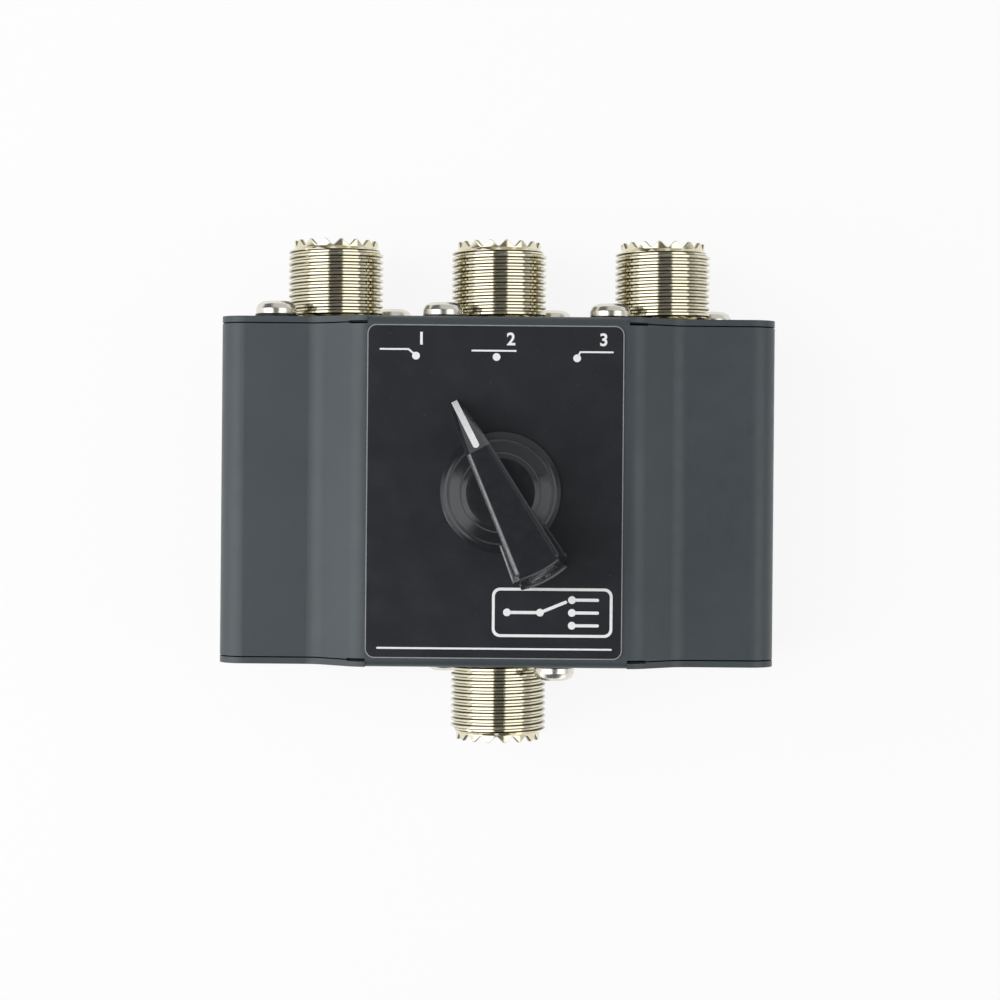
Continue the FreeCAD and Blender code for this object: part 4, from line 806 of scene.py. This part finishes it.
def grip_ring(along):
    """Points round the grip at a station: up its right side, over the top, down the left."""
    top, lip = highest(along), LIP_TOP / GRIP_RISE
    foot, corner = grip_point(along, 0), grip_point(along, top)
    inward = Vector((-1, 0, 0))
    if along < 0:
        inward = Vector((-corner.x, -corner.y, 0)) if along < -1 else Vector((-1, 1, 0))
    inward.normalize()
    right = [foot, foot + Vector((0, 0, LIP_EDGE))]
    for share in (0, 0.2, 0.4, 0.6):
        wall = grip_point(along, lip + (top - lip) * share)
        right.append(wall + inward * WALL_INSET * (1 - share))
    radius = SIDE_ROUND if along >= 0 else TAIL_ROUND
    radius = min(radius, 0.35 * (corner.z - foot.z - LIP_TOP))
    start = corner + (right[-1] - corner).normalized() * radius
    end = corner + inward * radius
    right += [
        start,
        start * 0.82 + corner * 0.12 + end * 0.06,
        start * 0.06 + corner * 0.12 + end * 0.82,
        end,
    ]
    return right + [Vector((-p.x, p.y, p.z)) for p in reversed(right)]


def grip_mesh():
    """The wedge, from the middle of its tail to its nose."""
    bm = bmesh.new()
    bend = (FACET_START - TOP_CORNER[1]) / (TOP_NOSE[1] - TOP_CORNER[1])
    stations = [-1.96, -1.8, -1.6, -1.4, -1.2, -1.0001, -1]
    stations += [bend * k / 14 for k in range(15)]
    stations += [bend + (1 - bend) * k / 7 for k in range(1, 8)]
    lines = grid(bm, [grip_ring(along) for along in stations])
    last = len(lines[0]) - 1
    for line in (lines[0], lines[-1]):
        for k in range(last // 2):
            bm.faces.new((line[k], line[k + 1], line[last - 1 - k], line[last - k]))
    return finished(bm, "knob_grip", 30)


def screw_hole():
    """What the clamping screw's hole takes out of the grip's tail."""
    bm = bmesh.new()
    ring = circle_row(SCREW_HOLE, 0, 40)
    capped(bm, [[Vector((p.x, -reach, p.y + SCREW_HEIGHT)) for p in ring] for reach in (4.0, 17.0)])
    return finished(bm, "hole")


def knob_skirt():
    """The round skirt and the shoulder that carries the wedge."""
    bm = bmesh.new()
    corners = (
        (6.65, 2.85, 0), (6.65, 0.0, 0.1), (9.7, 0.0, 0.2), (9.7, 0.95, 0.4), (8.95, 1.45, 0.6),
        (8.5, 1.62, 0.12), (8.5, 2.65, 0.12), (8.1, 3.1, 0.15), (6.45, 3.95, 0.12),
        (6.35, 4.1, 0.1), (6.35, 9.0, 0.2), (6.1, 9.3, 0.15), (5.4, 9.68, 0.1), (5.0, 9.7, 0.1),
        (1e-4, 9.7, 0),
    )
    grid(bm, turned_rows(corners, 128))
    return finished(bm, "knob_skirt", 60)


def knob_mesh():
    """The wedge, with rounded edges and its screw's hole, and the skirt in one mesh."""
    grip = linked("grip", grip_mesh())
    add_bevel(grip, 0.12, 2, 40)
    baked(grip)
    for vert in grip.data.vertices:
        vert.co.z = min(vert.co.z, GRIP_TOP)
    cut_away(grip, screw_hole())
    bm = bmesh.new()
    bm.from_mesh(grip.data)
    bm.from_mesh(knob_skirt())
    bpy.data.objects.remove(grip)
    return to_mesh(bm, "pointer_knob")


def pointer_line():
    """The white line down the nose, round at its inner end and cut off at the tip."""
    bm = bmesh.new()
    outline = [Vector((LINE_HALF, LINE_END)), Vector((-LINE_HALF, LINE_END))]
    for k in range(15):
        angle = math.pi * (1 + k / 14)
        x, y = LINE_HALF * math.cos(angle), LINE_HALF * math.sin(angle)
        outline.append(Vector((x, LINE_START + LINE_HALF + y)))
    rows = []
    for lift in LINE_LEVELS:
        heights = [GRIP_TOP - FACET_FALL * (p.y - FACET_START) + lift for p in outline]
        rows.append([Vector((p.x, p.y, height)) for p, height in zip(outline, heights)])
    capped(bm, rows)
    return finished(bm, "knob_line")


knob = new_object("pointer_knob", knob_mesh(), KNOB_PLACE)
steady_normals(piece(knob, "knob_plastic", "rotor", "knob"), 40)
stripe = new_object("pointer_stripe", pointer_line(), KNOB_PLACE)
piece(stripe, "white_fill", "rotor", "knob_pointer_line")


# ---------------------------------------------------------------- the studio


def math_node(nodes, links, kind, first, second):
    """A node that works one number out of two, each a plain number or an output."""
    node = nodes.new("ShaderNodeMath")
    node.operation = kind
    for index, value in enumerate((first, second)):
        if isinstance(value, float):
            node.inputs[index].default_value = value
        else:
            links.new(value, node.inputs[index])
    return node.outputs["Value"]


def shine_through(finish, share):
    """Shows most of a surface as plain white, also in metal and glass; the rest keeps shadows."""
    nodes, links = finish.nodes, finish.links
    white = nodes.new("ShaderNodeEmission")
    white.inputs["Color"].default_value = (1, 1, 1, 1)
    path = nodes.new("ShaderNodeLightPath")
    seen = path.outputs["Is Camera Ray"]
    for ray in ("Is Glossy Ray", "Is Transmission Ray"):
        seen = math_node(nodes, links, "MAXIMUM", seen, path.outputs[ray])
    mix = nodes.new("ShaderNodeMixShader")
    links.new(math_node(nodes, links, "MULTIPLY", seen, share), mix.inputs["Fac"])
    links.new(finish.shader.outputs["BSDF"], mix.inputs[1])
    links.new(white.outputs["Emission"], mix.inputs[2])
    links.new(mix.outputs["Shader"], nodes["Material Output"].inputs["Surface"])


# The floor lies a tenth of a millimetre below the back plate, so that no faces coincide.
FLOOR_REACH, FLOOR_LEVEL = 4, -0.1 * MM
floor_mesh = bpy.data.meshes.new("floor")
floor_corners = ((-1, -1), (1, -1), (1, 1), (-1, 1))
floor_points = [(x * FLOOR_REACH, y * FLOOR_REACH, FLOOR_LEVEL) for x, y in floor_corners]
floor_mesh.from_pydata(floor_points, [], [(0, 1, 2, 3)])
floor = linked("floor", floor_mesh)
floor_paint = Finish("floor_paint", (0.86, 0.86, 0.86), 0.6)
floor_paint.tint(floor_paint.noise(200, 2), (0.84, 0.84, 0.84))
shine_through(floor_paint, 0.9)
floor.data.materials.append(floor_paint.material)


def soft_box(name, place, size, power):
    """A rectangular soft light, aimed at the object."""
    light = bpy.data.lights.new(name, "AREA")
    light.shape = "RECTANGLE"
    light.size, light.size_y = size
    light.energy = power
    obj = linked(name, light)
    obj.location = place
    aim = Vector((0, 0, 0.02)) - Vector(place)
    obj.rotation_euler = aim.to_track_quat("-Z", "Y").to_euler()
    obj.visible_glossy = False


def studio_world():
    """The surroundings: soft light for diffuse rays, and a plain white for the camera.

    Glossy rays see dark walls with pale patches and a lamp, and overhead the dark spot
    where the camera hangs, which is what shows in the label, the knob and the metal.
    """
    world = bpy.data.worlds.new("studio")
    world.use_nodes = True
    nodes, links = world.node_tree.nodes, world.node_tree.links
    nodes.clear()
    coordinates = nodes.new("ShaderNodeTexCoord")

    def dot(vector):
        """How closely a ray's direction follows a vector."""
        node = nodes.new("ShaderNodeVectorMath")
        node.operation = "DOT_PRODUCT"
        node.inputs[1].default_value = vector
        links.new(coordinates.outputs["Generated"], node.inputs[0])
        return node.outputs["Value"]

    def ramp(source, *stops):
        """A level for each stop; a new ramp has two, at its ends."""
        node = nodes.new("ShaderNodeValToRGB")
        elements = node.color_ramp.elements
        for index, (position, level) in enumerate(stops):
            element = elements[index] if index < 2 else elements.new(position)
            element.position, element.color = position, (level, level, level, 1)
        links.new(source, node.inputs["Fac"])
        return node.outputs["Color"]

    def background(colour, strength):
        """A glow, white where no colour is given."""
        node = nodes.new("ShaderNodeBackground")
        node.inputs["Color"].default_value = (1, 1, 1, 1)
        node.inputs["Strength"].default_value = strength
        if colour:
            links.new(colour, node.inputs["Color"])
        return node.outputs["Background"]

    def either(factor, no, yes):
        """One of two shaders, or a blend of them."""
        node = nodes.new("ShaderNodeMixShader")
        links.new(factor, node.inputs["Fac"])
        links.new(no, node.inputs[1])
        links.new(yes, node.inputs[2])
        return node.outputs["Shader"]

    def combined(kind, first, second):
        """One number out of two, in this world's nodes."""
        return math_node(nodes, links, kind, first, second)

    def patch(azimuth, off_zenith, inner, outer, level):
        """A soft-edged round patch of light, its place and reach in degrees."""
        turn, tilt = math.radians(azimuth), math.radians(off_zenith)
        flat = math.sin(tilt)
        centre = (flat * math.cos(turn), flat * math.sin(turn), math.cos(tilt))
        full, none = math.cos(math.radians(inner)), math.cos(math.radians(outer))
        return ramp(dot(centre), (none, 0.0), (full, level))

    overhead = dot(Vector((0.09, 0.085, 1)).normalized())

    # The soft light: bright above the horizon, dim straight overhead and towards both ends.
    rise_and_fall = ((0.1, 0.5), (0.3, 1.0), (0.955, 1.0), (0.966, 0.17))
    around = ramp(overhead, (0.0, 0.25), (1.0, 0.17), *rise_and_fall)
    for end in (-1, 1):
        around = combined("MULTIPLY", around, ramp(dot((0, end, 0)), (0.0, 1.0), (0.7, 0.15)))

    # What shines back: patches at the sides, none of them overhead, dim walls and one lamp.
    mirrored = patch(195, 42, 28, 31, 1.0)
    for place in (
        (-8, 42, 22, 27, 0.8), (197, 90, 32, 42, 0.5), (-11, 90, 20, 40, 0.32),
        (66, 66, 34, 44, 0.3), (302, 88, 12, 22, 1.0),
    ):
        mirrored = combined("MAXIMUM", mirrored, patch(*place))
    mirrored = combined("MULTIPLY", mirrored, ramp(overhead, (0.958, 1.0), (0.973, 0.0)))
    mirrored = combined("MAXIMUM", mirrored, ramp(overhead, (0.0, 0.055), (1.0, 0.078)))
    mirrored = combined("ADD", mirrored, patch(207, 90, 9, 14, 2.6))

    path = nodes.new("ShaderNodeLightPath")
    lit = either(path.outputs["Is Glossy Ray"], background(around, 0.95), background(mirrored, 2.2))
    shown = either(path.outputs["Is Camera Ray"], lit, background(None, 1.0))
    output = nodes.new("ShaderNodeOutputWorld")
    links.new(shown, output.inputs["Surface"])
    bpy.context.scene.world = world


studio_world()
soft_box("key_light", (-0.28, 0.03, 0.50), (0.32, 0.50), 1.38)
soft_box("left_light", (-0.50, -0.03, 0.28), (0.40, 0.40), 1.1)
soft_box("right_light", (0.54, -0.08, 0.26), (0.26, 0.34), 0.56)
bpy.context.scene.view_settings.view_transform = "Standard"

# The camera hangs straight above, a little past the middle, as for a flat product picture.
SENSOR = 36
camera_data = bpy.data.cameras.new("camera")
camera_data.sensor_width = SENSOR
camera_data.lens = SENSOR * 2.388
camera_data.shift_y = -0.033
camera_data.clip_start = 0.02
camera = linked("camera", camera_data)
camera.location = (0.0004, 0.0040, 0.417)
camera.rotation_euler = (0, 0, math.radians(0.5))
bpy.context.scene.camera = camera
